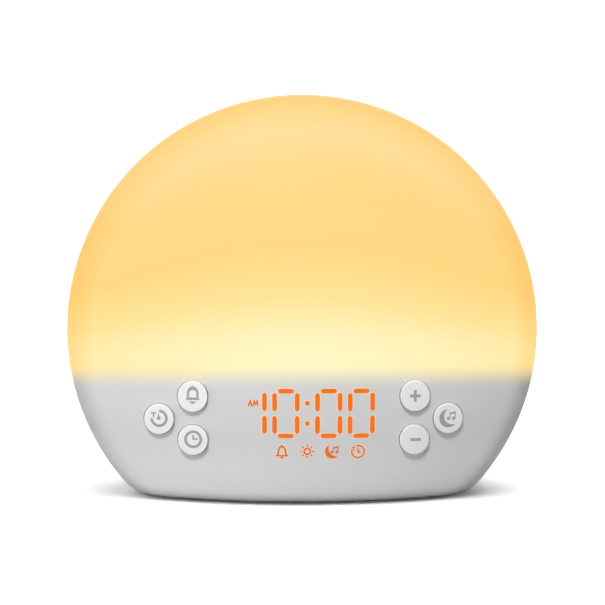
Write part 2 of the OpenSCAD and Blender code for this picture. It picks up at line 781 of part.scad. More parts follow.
// A small diode on the board behind each light guide
module display_leds() {
    size = [1.5, 0.9, 0.8];
    module chip(x, z) {
        translate([x - size[0] / 2, board_y - size[1], z - size[2] / 2]) cube(size);
    }
    color([1, 0.6, 0.2]) {
        for (i = [0 : 3]) {
            x = display_x + digit_at[i];
            for (z = [-upright_z, upright_z]) {
                chip(x + bar_x, display_z + z);
                if (i > 0) chip(x - bar_x, display_z + z);
            }
            if (i > 0) for (z = [-bar_z, 0, bar_z]) chip(x, display_z + z);
        }
        for (z = [-upright_z + 0.5, upright_z - 0.5]) chip(display_x, display_z + z);
        for (z = [-legend_z, legend_z]) chip(display_x + legend_x, display_z + z);
        for (i = [0 : icon_count - 1]) chip(icon_at(i), icon_z);
    }
}

// ---------------------------------------------------------------- buttons

// A cap with its flange behind the face and a stem that reaches its switch
module button_cap(i) {
    x = button_at[i][0];
    z = button_at[i][1];
    color([0.96, 0.96, 0.95]) {
        difference() {
            union() {
                intersection() {
                    rod(x, z, cap_r, -far / 4, board_y);
                    front_ball(-cap_proud);
                }
                intersection() {
                    rod(x, z, flange_r, -far / 4, board_y);
                    front_ball(wall + fit_gap);
                }
            }
            front_ball(wall + fit_gap + flange_t);
            intersection() {
                rod(x, z, cap_r - cap_wall, -far / 4, board_y);
                front_ball(cap_skin - cap_proud);
            }
        }
        difference() {
            intersection() {
                rod(x, z, stem_r, -far / 4, plunger_y);
                front_ball(cap_skin / 2 - cap_proud);
            }
            // the last of the stem is hollowed, so that it presses on a narrow ring
            rod(x, z, stem_r / 2, plunger_y - 1, plunger_y + 1);
        }
    }
}

// Six tactile switches on the front of the main board, each without its plunger
module switch_bodies() {
    body_h = switch_h - 1.5;
    color([0.2, 0.2, 0.2]) for (b = button_at) difference() {
        block([b[0] - switch_w / 2, board_y - body_h, b[1] - switch_w / 2],
              [b[0] + switch_w / 2, board_y, b[1] + switch_w / 2]);
        rod(b[0], b[1], plunger_r + 0.1, board_y - switch_h, plunger_y + plunger_l + cap_travel + 0.2);
    }
}

module switch_plunger(i) {
    color([0.9, 0.9, 0.85])
        rod(button_at[i][0], button_at[i][1], plunger_r, plunger_y, plunger_y + plunger_l);
}

// ---------------------------------------------------------------- parts on the main board

module controller_chip() {
    color([0.12, 0.12, 0.13])
        block([chip_at[0] - chip_w / 2, board_back, chip_at[1] - chip_w / 2],
              [chip_at[0] + chip_w / 2, board_back + chip_t, chip_at[1] + chip_w / 2]);
}

module small_chips() {
    half = small_chip_size / 2;
    color([0.12, 0.12, 0.13]) for (p = small_chip_at)
        block([p[0] - half[0], board_back, p[1] - half[1]],
              [p[0] + half[0], board_back + chip_t, p[1] + half[1]]);
}

module capacitors() {
    color([0.2, 0.22, 0.3]) for (p = capacitor_at)
        rod(p[0], p[1], capacitor_d / 2, board_back, board_back + capacitor_l);
}

// White plugs on the back of the main board, one at the start of each lead
module board_connectors() {
    color([0.95, 0.93, 0.86]) for (p = connector_at)
        block([p[0] - connector_size[0] / 2, board_back, p[2] - connector_size[1] / 2],
              [p[0] + connector_size[0] / 2, p[1] - touch, p[2] + connector_size[1] / 2]);
}

module coin_cell_holder() {
    color([0.15, 0.15, 0.15]) difference() {
        rod(coin_at[0], coin_at[1], coin_d / 2 + 1.6, board_back, board_back + coin_t + 1.4);
        rod(coin_at[0], coin_at[1], coin_d / 2 + fit_gap, board_back + 1, board_back + coin_t + 2);
    }
}

module coin_cell() {
    color([0.75, 0.76, 0.78])
        rod(coin_at[0], coin_at[1], coin_d / 2, board_back + 1, board_back + 1 + coin_t);
}

// ---------------------------------------------------------------- speaker

module speaker_gasket() {
    color([0.1, 0.1, 0.1]) ring(0, speaker_z, speaker_r, speaker_r - gasket_w, speaker_front, speaker_y);
}

// A place for each of the basket's four ears, turned so that the ear points up
module each_ear() {
    for (a = ear_a) translate([0, 0, speaker_z]) rotate([0, a, 0]) children();
}

// Pressed-steel basket: a rim with four ears, a windowed cone, a step for the spider and a floor
module speaker_basket() {
    color([0.6, 0.61, 0.63]) difference() {
        union() {
            rod(0, speaker_z, speaker_r, speaker_front - frame_t, speaker_front);
            each_ear() {
                rod(0, ear_at, ear_r, speaker_front - frame_t, speaker_front);
                block([-ear_r, speaker_front - frame_t, 0], [ear_r, speaker_front, ear_at]);
            }
            taper(0, speaker_z, basket_floor_r, speaker_r - frame_t, basket_back, speaker_front - frame_t);
            block([basket_floor_r - 2, basket_back, speaker_z - 3],
                  [terminal_x + 1, basket_back + basket_t, speaker_z + 3]);
        }
        taper(0, speaker_z, basket_floor_r - basket_t, speaker_r - frame_t - basket_t,
              basket_back + basket_t + spider_step, speaker_front - frame_t);
        rod(0, speaker_z, basket_floor_r - 2 * basket_t - 1, basket_back + basket_t, speaker_front);
        rod(0, speaker_z, speaker_r - rim_w, speaker_front - frame_t - 1, speaker_front + 1);
        rod(0, speaker_z, gap_r + 1, basket_back - 1, basket_back + 2);
        for (a = [0 : 90 : 270]) translate([0, basket_back + 6.2, speaker_z]) rotate([0, a, 0])
            translate([0, 0, speaker_r / 2]) cube([9, 5, speaker_r], center = true);
        each_ear() rod(0, ear_at, shank_r + 0.4, speaker_front - 3, speaker_front + 1);
    }
}

// Paper cone with its dust cap
module speaker_cone() {
    cap_ball = [0, cone_neck_y - 4, speaker_z];
    cap_ball_r = 9;
    color([0.16, 0.16, 0.17]) {
        difference() {
            taper(0, speaker_z, cone_neck_r, cone_rim_r, cone_neck_y, speaker_front);
            taper(0, speaker_z, cone_neck_r - cone_t, cone_rim_r - cone_t,
                  cone_neck_y - ease, speaker_front + ease);
        }
        intersection() {
            difference() {
                translate(cap_ball) sphere(r = cap_ball_r);
                translate(cap_ball) sphere(r = cap_ball_r - cone_t);
            }
            taper(0, speaker_z, cone_neck_r - cone_t / 2, cone_rim_r - cone_t / 2,
                  cone_neck_y, speaker_front);
        }
    }
}

// Rubber edge of the cone: a half-round roll with a flat rim that lies on the basket
module speaker_surround() {
    rubber_t = 0.4;
    roll_r = (roll_w - cone_gap) / 2;
    color([0.1, 0.1, 0.1]) translate([0, speaker_front, speaker_z]) rotate([-90, 0, 0]) rotate_extrude() {
        translate([cone_rim_r + cone_gap + roll_r, 0]) difference() {
            circle(r = roll_r);
            circle(r = roll_r - rubber_t);
            translate([-far, -far]) square([2 * far, far]);
        }
        translate([cone_rim_r + roll_w - rubber_t, 0])
            square([rim_w - gasket_w - fit_gap / 2 + rubber_t, rubber_t]);
    }
}

// Flat spring that centres the coil over the basket's floor
module speaker_spider() {
    seat = basket_back + basket_t + spider_step;
    color([0.75, 0.6, 0.3])
        ring(0, speaker_z, basket_floor_r - basket_t - touch, coil_r + coil_t / 2 + cone_gap,
             seat, seat + spider_t);
}

module voice_coil() {
    color([0.75, 0.42, 0.25])
        ring(0, speaker_z, coil_r + coil_t / 2, coil_r - coil_t, plate_y - 3, cone_neck_y);
}

module speaker_top_plate() {
    color([0.7, 0.71, 0.73]) ring(0, speaker_z, magnet_d / 2 - 1, gap_r, plate_y, basket_back);
}

module speaker_magnet() {
    color([0.2, 0.2, 0.21]) ring(0, speaker_z, magnet_d / 2, gap_r + 1.4, magnet_y, plate_y);
}

// Back plate with the pole that stands inside the coil
module speaker_yoke() {
    color([0.7, 0.71, 0.73]) {
        rod(0, speaker_z, magnet_d / 2 - 1, yoke_y, magnet_y);
        rod(0, speaker_z, pole_r, magnet_y - 0.5, basket_back);
    }
}

// Tag board on the basket where the speaker's leads are soldered
module speaker_terminal() {
    color([0.55, 0.4, 0.25]) block([terminal_x, basket_back - terminal_l, speaker_z - 3],
                                   [terminal_x + 1, basket_back, speaker_z + 3]);
}

// Dust cloth behind the grille
module grille_cloth() {
    color([0.08, 0.08, 0.08]) intersection() {
        difference() {
            back_ball(wall + touch);
            back_ball(wall + 0.45);
        }
        rod(0, speaker_z, speaker_r - 2.6, speaker_y, far / 4);
    }
}

// ---------------------------------------------------------------- power socket

module power_board() {
    color([0.1, 0.4, 0.22]) difference() {
        block([jack_x - power_board_size[0] / 2, power_board_front, power_board_top - board_t],
              [jack_x + power_board_size[0] / 2, power_board_front + power_board_size[1], power_board_top]);
        for (p = power_post_at) translate([p[0], p[1], 0]) cylinder(r = shank_r + 0.3, h = far / 4);
    }
}

// Plug-in header for the lead, with a choke and a fuse beside the socket
module power_board_parts() {
    side = jack_w / 2 + 0.4;
    color([0.3, 0.3, 0.32]) {
        block([jack_x - 3, power_board_front, power_board_top],
              [jack_x + 3, power_board_front + 3.6, jack_z - 1]);
        translate([jack_x + side + 1.9, power_board_front + 10, power_board_top]) cylinder(r = 1.9, h = 4);
        block([jack_x - side - 2.4, power_board_front + 7, power_board_top],
              [jack_x - side, power_board_front + 13, power_board_top + 2.4]);
    }
}

// Round low-voltage socket, its nose in the hole of the recess
module dc_jack() {
    color([0.1, 0.1, 0.1]) difference() {
        union() {
            block([jack_x - jack_w / 2, jack_face - jack_l, power_board_top],
                  [jack_x + jack_w / 2, jack_face, jack_z + jack_top]);
            rod(jack_x, jack_z, jack_nose_r, jack_face - 1, recess_floor);
        }
        rod(jack_x, jack_z, jack_bore_d / 2, recess_floor - jack_pin_l - 1.4, recess_floor + 1);
        rod(jack_x, jack_z, jack_pin_d / 2 - 0.15,
            recess_floor - jack_pin_l - 1.4 - jack_root_l, recess_floor);
    }
}

// The socket's centre pin, on a narrower root
module dc_jack_pin() {
    root = recess_floor - jack_pin_l - 1.4;
    color([0.8, 0.8, 0.8]) {
        rod(jack_x, jack_z, jack_pin_d / 2, root, root + jack_pin_l);
        rod(jack_x, jack_z, jack_pin_d / 2 - 0.2, root - jack_root_l + touch, root + 0.5);
    }
}

// ---------------------------------------------------------------- fasteners

module housing_screws() {
    color([0.75, 0.75, 0.77]) {
        for (a = rim_screw_a)
            screw(rim_at(a)[0], rim_at(a)[1], rim_seat_y, rim_seat + screw_bite, -1);
        for (p = base_screw_at) screw(p[0], p[1], base_seat_y, base_seat + screw_bite, -1);
    }
}

module board_screws() {
    color([0.75, 0.75, 0.77]) for (p = board_post_at)
        screw(p[0], p[1], board_back, board_t + 4, -1, pilot_r - screw_gap, 2.2, 1.4);
}

module speaker_screws() {
    color([0.75, 0.75, 0.77]) each_ear()
        screw(0, ear_at, speaker_front - frame_t, frame_t + 4, 1, pilot_r - screw_gap, 2.2, 1.4);
}

module reflector_screws() {
    color([0.75, 0.75, 0.77]) for (p = bowl_screw_at)
        screw(p[0], face_z + p[1], bowl_seat_y, 8, 1);
}

module power_board_screws() {
    color([0.75, 0.75, 0.77]) for (p = power_post_at) translate([p[0], p[1], power_board_top]) {
        translate([0, 0, -5]) cylinder(r = pilot_r - screw_gap, h = 5);
        cylinder(r = 2, h = 1.3);
    }
}

// ---------------------------------------------------------------- leads

module speaker_cable() {
    color([0.75, 0.12, 0.12]) lead_pair(speaker_route, [0, 0, 1]);
}

module lamp_cable() {
    color([0.9, 0.9, 0.9]) lead_pair(lamp_route, [1, 0, 0]);
}

module power_cable() {
    color([0.12, 0.12, 0.12]) lead_pair(power_route, [1, 0, 0]);
}

module touch_lead() {
    color([0.95, 0.8, 0.2]) lead(touch_route, lead_d, [1, 0, 0]);
}

// ---------------------------------------------------------------- output

front_shell();
rear_cover();
reflector();
light_shield();
lamp_board();
lamp_leds();
touch_foil();
main_board();
display_housing();
display_light_guides();
display_leds();
switch_bodies();
button_cap(0);  // alarm_button
button_cap(1);  // timer_button
button_cap(2);  // clock_button
button_cap(3);  // plus_button
button_cap(4);  // minus_button
button_cap(5);  // sleep_sound_button
switch_plunger(0);  // alarm_plunger
switch_plunger(1);  // timer_plunger
switch_plunger(2);  // clock_plunger
switch_plunger(3);  // plus_plunger
switch_plunger(4);  // minus_plunger
switch_plunger(5);  // sleep_sound_plunger
controller_chip();
small_chips();
capacitors();
board_connectors();
coin_cell_holder();
coin_cell();
speaker_basket();
speaker_cone();
speaker_surround();
speaker_spider();
voice_coil();
speaker_magnet();
speaker_yoke();
speaker_top_plate();
speaker_gasket();
speaker_terminal();
grille_cloth();
power_board();
power_board_parts();
dc_jack();
dc_jack_pin();
housing_screws();
board_screws();
speaker_screws();
reflector_screws();
power_board_screws();
speaker_cable();
lamp_cable();
power_cable();
touch_lead();
feet();
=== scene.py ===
"""Looks of a sunrise alarm clock: a pebble-shaped lamp whose upper half glows, with a hidden clock
display and six push buttons below. Sizes are in millimetres, +Z is up and the face looks along -Y."""
import math

import bmesh
import bpy
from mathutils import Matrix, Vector
from mathutils.geometry import delaunay_2d_cdt, tessellate_polygon


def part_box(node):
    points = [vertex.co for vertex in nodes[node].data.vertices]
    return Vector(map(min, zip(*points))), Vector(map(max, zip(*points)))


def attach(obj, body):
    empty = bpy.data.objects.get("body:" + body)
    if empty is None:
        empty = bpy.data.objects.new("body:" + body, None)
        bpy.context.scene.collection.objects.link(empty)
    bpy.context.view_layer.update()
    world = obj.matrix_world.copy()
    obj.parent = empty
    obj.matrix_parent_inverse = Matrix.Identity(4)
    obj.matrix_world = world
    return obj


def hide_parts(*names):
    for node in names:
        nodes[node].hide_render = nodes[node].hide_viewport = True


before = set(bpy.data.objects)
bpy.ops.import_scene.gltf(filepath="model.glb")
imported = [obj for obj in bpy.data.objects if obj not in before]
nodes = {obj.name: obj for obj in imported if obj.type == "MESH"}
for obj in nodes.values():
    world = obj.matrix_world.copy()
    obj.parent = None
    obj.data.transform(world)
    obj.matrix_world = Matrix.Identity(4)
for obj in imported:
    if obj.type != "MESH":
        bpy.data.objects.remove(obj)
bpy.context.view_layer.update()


# ---------------------------------------------------------------- camera
# A long lens a little above the table looks at the middle of the round face. Places are written in
# millimetres and scaled to metres by MM.
MM = 0.001
look_at = Vector((0, 0, 66.8)) * MM
lens_distance = 1200 * MM
lens_height = math.radians(9)
lens_turn = math.radians(-0.8)

camera = bpy.data.objects.new("camera", bpy.data.cameras.new("camera"))
bpy.context.scene.collection.objects.link(camera)
bpy.context.scene.camera = camera
towards_camera = Vector((math.sin(lens_turn) * math.cos(lens_height),
                         -math.cos(lens_turn) * math.cos(lens_height), math.sin(lens_height)))
camera.location = look_at + lens_distance * towards_camera
camera.rotation_euler = (-towards_camera).to_track_quat("-Z", "Y").to_euler()
camera.data.sensor_width = 36
camera.data.lens = 176.1
camera.data.shift_x = 0.0006
camera.data.shift_y = 0.0446
camera.data.clip_start = 0.05
camera.data.clip_end = 50
bpy.context.scene.view_settings.view_transform = "Standard"


# ---------------------------------------------------------------- studio
# A plain white table runs into a white room. A softbox stands above and in front, a wide one fills from
# the left and one hangs overhead. The camera and the gloss see the table and the room as white.
def paint(hex_code):
    """An sRGB colour such as #f4f4f2, as the linear values that a shader takes."""
    parts = [int(hex_code[i:i + 2], 16) / 255 for i in (1, 3, 5)]
    return [c / 12.92 if c <= 0.04045 else ((c + 0.055) / 1.055) ** 2.4 for c in parts] + [1]


def add_node(material, kind, settings=None, links=None):
    """Adds a shader node of a kind, such as Math. Settings are its properties, its inputs by name or
    number, or the stops of a ramp as (place, hex colour). Links are its inputs, each with the node
    and the output that it takes."""
    made = material.node_tree.nodes.new("ShaderNode" + kind)
    for name, value in (settings or {}).items():
        if name == "stops":
            steps = made.color_ramp.elements
            while len(steps) < len(value):
                steps.new(1)
            for step, (place, colour) in zip(steps, value):
                step.position = place
                step.color = paint(colour)
        elif isinstance(name, int) or name in made.inputs:
            made.inputs[name].default_value = value
        else:
            setattr(made, name, value)
    for name, (source, output) in (links or {}).items():
        material.node_tree.links.new(source.outputs[output], made.inputs[name])
    return made


def blank_material(name):
    """A material with no nodes yet."""
    material = bpy.data.materials.new(name)
    material.use_nodes = True
    material.node_tree.nodes.clear()
    return material


def in_plain_sight(material):
    """A node that gives 1 where a thing is seen straight, in gloss or through glass, and 0 where it
    lights the object."""
    ray = add_node(material, "LightPath")
    seen = add_node(material, "Math", {"operation": "ADD"},
                    {0: (ray, "Is Camera Ray"), 1: (ray, "Is Glossy Ray")})
    return add_node(material, "Math", {"operation": "ADD", "use_clamp": True},
                    {0: (seen, 0), 1: (ray, "Is Transmission Ray")})


room_light = 0.16         # brightness of the room, as the object's own surfaces see it
room_slope = 0.1          # how much brighter the room is at the left, and darker at the right
table_bounce = 1.0        # all of its light, to make up for the softboxes that are flagged off it
table_white_level = 2.5   # the camera overexposes the table, so that only its deep shadow shows

world = bpy.data.worlds.new("white_room")
bpy.context.scene.world = world
world.use_nodes = True
world.node_tree.nodes.clear()
towards = add_node(world, "TexCoord")
axes = add_node(world, "SeparateXYZ", links={0: (towards, "Generated")})
room = add_node(world, "Math", {"operation": "MULTIPLY_ADD", 1: -room_slope, 2: room_light},
                {0: (axes, "X")})
level = add_node(world, "Mix", {"data_type": "FLOAT", 3: 1.0},
                 {0: (in_plain_sight(world), 0), 2: (room, 0)})
sky = add_node(world, "Background", {"Color": (1, 1, 1, 1)}, {"Strength": (level, 0)})
add_node(world, "OutputWorld", links={"Surface": (sky, 0)})

table_white = blank_material("matt_white_table")
albedo = add_node(table_white, "Math",
                  {"operation": "MULTIPLY_ADD", 1: table_white_level - table_bounce, 2: table_bounce},
                  {0: (in_plain_sight(table_white), 0)})
matt = add_node(table_white, "BsdfDiffuse", links={"Color": (albedo, 0)})
add_node(table_white, "OutputMaterial", links={"Surface": (matt, 0)})

table_half = 40           # metres
table_mesh = bpy.data.meshes.new("table")
table_mesh.from_pydata([(-table_half, -table_half, 0), (table_half, -table_half, 0),
                        (table_half, table_half, 0), (-table_half, table_half, 0)], [], [(0, 1, 2, 3)])
table_mesh.materials.append(table_white)
table = bpy.data.objects.new("table", table_mesh)
bpy.context.scene.collection.objects.link(table)


def soft_lamp(name, turn, height, spread, brightness):
    """A distant softbox, turned from the front and raised above the table, in degrees. Brightness 1
    renders a white card that faces it as white."""
    lamp = bpy.data.objects.new(name, bpy.data.lights.new(name, "SUN"))
    bpy.context.scene.collection.objects.link(lamp)
    lamp.data.angle = math.radians(spread)
    lamp.data.energy = brightness * math.pi
    turn, height = math.radians(turn), math.radians(height)
    back = Vector((math.sin(turn) * math.cos(height), -math.cos(turn) * math.cos(height),
                   math.sin(height)))
    lamp.location = look_at + back
    lamp.rotation_euler = (-back).to_track_quat("-Z", "Y").to_euler()
    return lamp


key_softbox = soft_lamp("key_softbox", turn=-10, height=48, spread=12, brightness=0.93)
side_softbox = soft_lamp("side_softbox", turn=-64, height=4, spread=60, brightness=0.38)
soft_lamp("top_softbox", turn=60, height=86, spread=50, brightness=0.4)

# all softboxes but the top one are flagged off the table
flagged = bpy.data.collections.new("flagged_off_the_table")
flagged.objects.link(table)
flagged.collection_objects[0].light_linking.link_state = "EXCLUDE"
for softbox in (key_softbox, side_softbox):
    softbox.light_linking.receiver_collection = flagged


# ---------------------------------------------------------------- housing form
# Both shells share one form: a shallow dome, a rolled edge and a straight band, turned about the
# axis of the face, and settled on a flat base with a soft roll all round. Every piece that lies on
# the face takes its place from these functions.
face_r = 95
face_z = 66.8
base_z = 1.2
base_roll = 5
wall = 2.2
seam_gap = 0.3
fit_gap = 0.2
side_band = 4.8
# the radius of each side's dome and of its rolled edge, and which way along Y its inside lies
front_side = {"dome": 170, "edge": 16, "inward": 1}
back_side = {"dome": 260, "edge": 30, "inward": -1}
for side in (front_side, back_side):
    side["edge_at"] = face_r - side["edge"]
    side["lean"] = math.asin(side["edge_at"] / (side["dome"] - side["edge"]))
    side["dome_arc"] = side["dome"] * side["lean"]
    side["full_arc"] = side["dome_arc"] + side["edge"] * (math.pi / 2 - side["lean"])
    side["edge_depth"] = side["dome"] - (side["dome"] - side["edge"]) * math.cos(side["lean"])
body_d = front_side["edge_depth"] + side_band + back_side["edge_depth"]
front_side["pole"] = -body_d / 2
back_side["pole"] = body_d / 2
seam_y = -body_d / 2 + front_side["edge_depth"] + side_band / 2


def settle(x, y, z, inset):
    """Rolls the form over into its flat base, which lies inset above the outside of the base."""
    over = z - base_z - inset
    if over < base_roll:
        over = (over + base_roll) ** 2 / (4 * base_roll) if over > -base_roll else 0
    return Vector((x, y, base_z + inset + over))


def skin(side, arc, turn, inset=0):
    """A point on a shell: arc is its distance from the pole along the outside, turn the angle from the
    top, and inset how deep in the wall it lies."""
    if arc < side["dome_arc"]:
        lean = arc / side["dome"]
        r = (side["dome"] - inset) * math.sin(lean)
        depth = side["dome"] - (side["dome"] - inset) * math.cos(lean)
    elif arc < side["full_arc"]:
        lean = side["lean"] + (arc - side["dome_arc"]) / side["edge"]
        r = side["edge_at"] + (side["edge"] - inset) * math.sin(lean)
        depth = side["edge_depth"] - (side["edge"] - inset) * math.cos(lean)
    else:
        r = face_r - inset
        depth = side["edge_depth"] + arc - side["full_arc"]
    y = side["pole"] + side["inward"] * depth
    return settle(r * math.sin(turn), y, face_z + r * math.cos(turn), inset)


def on_shell(side, x, z, inset=0):
    """The point of a shell that lies straight behind x and z on the face."""
    r = math.hypot(x, z - face_z)
    if r < (side["dome"] - inset) * math.sin(side["lean"]):
        depth = side["dome"] - math.sqrt((side["dome"] - inset) ** 2 - r * r)
    else:
        out = min(r - side["edge_at"], side["edge"] - inset)
        depth = side["edge_depth"] - math.sqrt((side["edge"] - inset) ** 2 - out ** 2)
    return settle(x, side["pole"] + side["inward"] * depth, z, inset)


def unrolled(side, x, z):
    """Where x and z on the face lie once the shell is unrolled round its pole."""
    r = math.hypot(x, z - face_z)
    if r < side["dome"] * math.sin(side["lean"]):
        arc = side["dome"] * math.asin(r / side["dome"])
    else:
        lean = math.asin((r - side["edge_at"]) / side["edge"])
        arc = side["dome_arc"] + side["edge"] * (lean - side["lean"])
    share = arc / max(r, 0.001)
    return Vector((x * share, (z - face_z) * share))


def around(x, z, r, count, tall=1, lean=0):
    """Points on a circle, which may be stretched upwards and lean to the side."""
    turns = [2 * math.pi * i / count for i in range(count)]
    return [(x + r * math.cos(a), z + r * (tall * math.sin(a) + lean * math.cos(a))) for a in turns]


def band_between(mesh, first, second):
    """Faces between two closed rows of as many points."""
    for i in range(len(first)):
        j = (i + 1) % len(first)
        mesh.faces.new((first[i], first[j], second[j], second[i]))


def lid(mesh, row, centre):
    """Closes a row with triangles that meet at a centre."""
    middle = mesh.verts.new(centre)
    for i in range(len(row)):
        mesh.faces.new((row[i], row[(i + 1) % len(row)], middle))


def post(mesh, side, x, z, outer, inner, inset, end_y, count=32):
    """A closed hollow post that starts in the wall, at a depth below its outside, and ends at end_y."""
    rows = []
    for r, ends in ((outer, False), (outer, True), (inner, True), (inner, False)):
        rows.append([mesh.verts.new((px, end_y if ends else on_shell(side, px, pz, inset).y, pz))
                     for px, pz in around(x, z, r, count)])
    for first, second in zip(rows, rows[1:] + rows[:1]):
        band_between(mesh, first, second)


crease = math.radians(35)


def finish_piece(mesh, name, body, material, replaced=()):
    """Turns a mesh in millimetres into a piece that rides on a body."""
    bmesh.ops.recalc_face_normals(mesh, faces=mesh.faces)
    bmesh.ops.scale(mesh, vec=(MM, MM, MM), verts=mesh.verts)
    data = bpy.data.meshes.new(name)
    mesh.to_mesh(data)
    mesh.free()
    data.polygons.foreach_set("use_smooth", [True] * len(data.polygons))
    data.set_sharp_from_angle(angle=crease)
    data.materials.append(material)
    piece = bpy.data.objects.new(name, data)
    bpy.context.scene.collection.objects.link(piece)
    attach(piece, body)
    if replaced:
        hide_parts(*replaced)
    return piece


dome_step = 0.9           # finest spacing of the mesh on a dome
coarse_step = 3           # how many of these lie between its points away from the base
row_step = math.sin(math.pi / 3)      # how close rows of even triangles lie, for sides of 1
edge_rows = 28
around_count = 360
turns_round = [2 * math.pi * i / around_count for i in range(around_count)]
rim_round = 0.3
quarter_steps = [i / 4 * math.pi / 2 for i in range(1, 5)]


def row_round(arc):
    """Places all round an unrolled shell, at a distance from its pole."""
    return [Vector((arc * math.sin(turn), arc * math.cos(turn))) for turn in turns_round]


def mesh_places(side):
    """Where the mesh of an unrolled shell has its points: a grid of triangles on the dome, finer where
    the form rolls into its base, and rows round the edge."""
    places = []
    rows = int(side["dome_arc"] / dome_step / row_step) + 1
    for row in range(-rows, rows + 1):
        for column in range(-rows, rows + 1):
            place = Vector((column + row % 2 / 2, row * row_step)) * dome_step
            share = side["dome"] * math.sin(place.length / side["dome"]) / max(place.length, 1)
            height = face_z + place.y * share
            near_base = abs(height - base_z) < base_roll + 2
            coarse = row % coarse_step == 0 and column % coarse_step == 0
            if place.length < side["dome_arc"] - 1 and (coarse or near_base):
                places.append(place)
    for i in range(edge_rows + 1):
        places += row_round(side["dome_arc"] + (side["full_arc"] - side["dome_arc"]) * i / edge_rows)
    return places


def clear_of(holes, side, place):
    """Whether a place lies outside the rings of the mesh round every hole."""
    share = (skin(side, place.length, 0).z - face_z) / max(place.length, 0.001)
    x, z = place.x * share, place.y * share + face_z
    return all(math.hypot(x - cut["x"], z - cut["z"]) > cut["r"] + cut["lip"] + 1.3 * cut["guard"][-1]
               for cut in holes)


def shell_mesh(side, end_y, holes):
    """A moulded shell of even thickness with a rounded rim at depth end_y, and holes through its
    wall. Its points are laid out flat, joined to triangles and raised to both sides of the wall."""
    end_arc = side["full_arc"] + abs(end_y - side["pole"]) - side["edge_depth"] - rim_round
    places = [place for place in mesh_places(side) if clear_of(holes, side, place)]
    rim = range(len(places), len(places) + around_count)
    places += row_round(end_arc)
    edges = [(rim[i - 1], rim[i]) for i in range(around_count)]
    loops, inside_at = [], {}
    for cut in holes:
        loop = range(len(places), len(places) + cut["count"])
        loops.append(loop)
        edges += [(loop[i - 1], loop[i]) for i in range(cut["count"])]
        inside_at.update(zip(loop, edge_of(cut, cut["inner_r"])))
        for extra in (0, *cut["guard"]):
            places += [unrolled(side, x, z) for x, z in edge_of(cut, cut["r"] + cut["lip"] + extra)
                       if math.hypot(x, z - face_z) < face_r - 0.6]
    faces, origin = delaunay_2d_cdt(places, edges, [], 0, 1e-5)[2:4]
    mesh = bmesh.new()
    outer, inner = {}, {}
    for first in {o[0] for o in origin}:
        place = places[first]
        turn = math.atan2(place.x, place.y)
        outer[first] = mesh.verts.new(skin(side, place.length, turn))
        if first in inside_at:
            inner[first] = mesh.verts.new(on_shell(side, *inside_at[first], wall))
        else:
            arc = place.length + (rim_round if first in rim else 0)
            inner[first] = mesh.verts.new(skin(side, arc, turn, wall))
    for face in faces:
        corners = [origin[i][0] for i in face]
        if not any(all(i in loop for i in corners) for loop in loops):
            mesh.faces.new([outer[i] for i in corners])
            mesh.faces.new([inner[i] for i in reversed(corners)])
    # the rim: rounded over, then flat to the inside
    rows = [[outer[i] for i in rim]]
    for a in quarter_steps:
        inset = rim_round * (1 - math.cos(a))
        y = end_y - side["inward"] * rim_round * (1 - math.sin(a))
        rows.append([mesh.verts.new(rim_point(turn, inset, y)) for turn in turns_round])
    rows.append([inner[i] for i in rim])
    join_rows(mesh, rows)
    # each hole: a rounded lip, its steps, and out at the inside
    for cut, loop in zip(holes, loops):
        rows = [[outer[i] for i in loop]]
        for a in quarter_steps:
            inset = cut["lip"] * (1 - math.cos(a))
            rows.append([mesh.verts.new(on_shell(side, x, z, inset))
                         for x, z in edge_of(cut, cut["r"] + cut["lip"] * (1 - math.sin(a)))])
        for r, y in cut["steps"]:
            rows.append([mesh.verts.new((x, y, z)) for x, z in edge_of(cut, r)])
        rows.append([inner[i] for i in loop])
        join_rows(mesh, rows)
    return mesh


def rim_point(turn, inset, y):
    """A point on the straight band at the rim."""
    r = face_r - inset
    return settle(r * math.sin(turn), y, face_z + r * math.cos(turn), inset)


def join_rows(mesh, rows):
    """Faces between each row and the next."""
    for first, second in zip(rows, rows[1:]):
        band_between(mesh, first, second)


def hole(x, z, r, lip, count, guard, inner_r=None, steps=(), tall=1, lean=0):
    """A round hole with a rounded lip and count points round it. Guard is how far from the lip the
    rings of the mesh round it lie, steps are the radius and depth of each edge on its way through, and
    inner_r is its radius on the inside."""
    return {"x": x, "z": z, "r": r, "lip": lip, "count": count, "guard": guard,
            "inner_r": inner_r or r, "steps": steps, "tall": tall, "lean": lean}


def edge_of(cut, r):
    """The points of a hole's edge, at a radius of its own."""
    return around(cut["x"], cut["z"], r, cut["count"], cut["tall"], cut["lean"])


# ---------------------------------------------------------------- plastic finishes
# ABS, polycarbonate and nylon leave a spark-eroded mould with a fine grain: the eye sees a soft,
# even satin. The real grain is about 0.05 mm and is drawn coarser here, so that it shows.
plastic_ior = 1.54
flow_width = 24           # of the patches that the flow of the melt leaves, in millimetres


def darker(colour, shade):
    """A colour dimmed to a share of its light."""
    return [c * shade for c in paint(colour)[:3]] + [1]


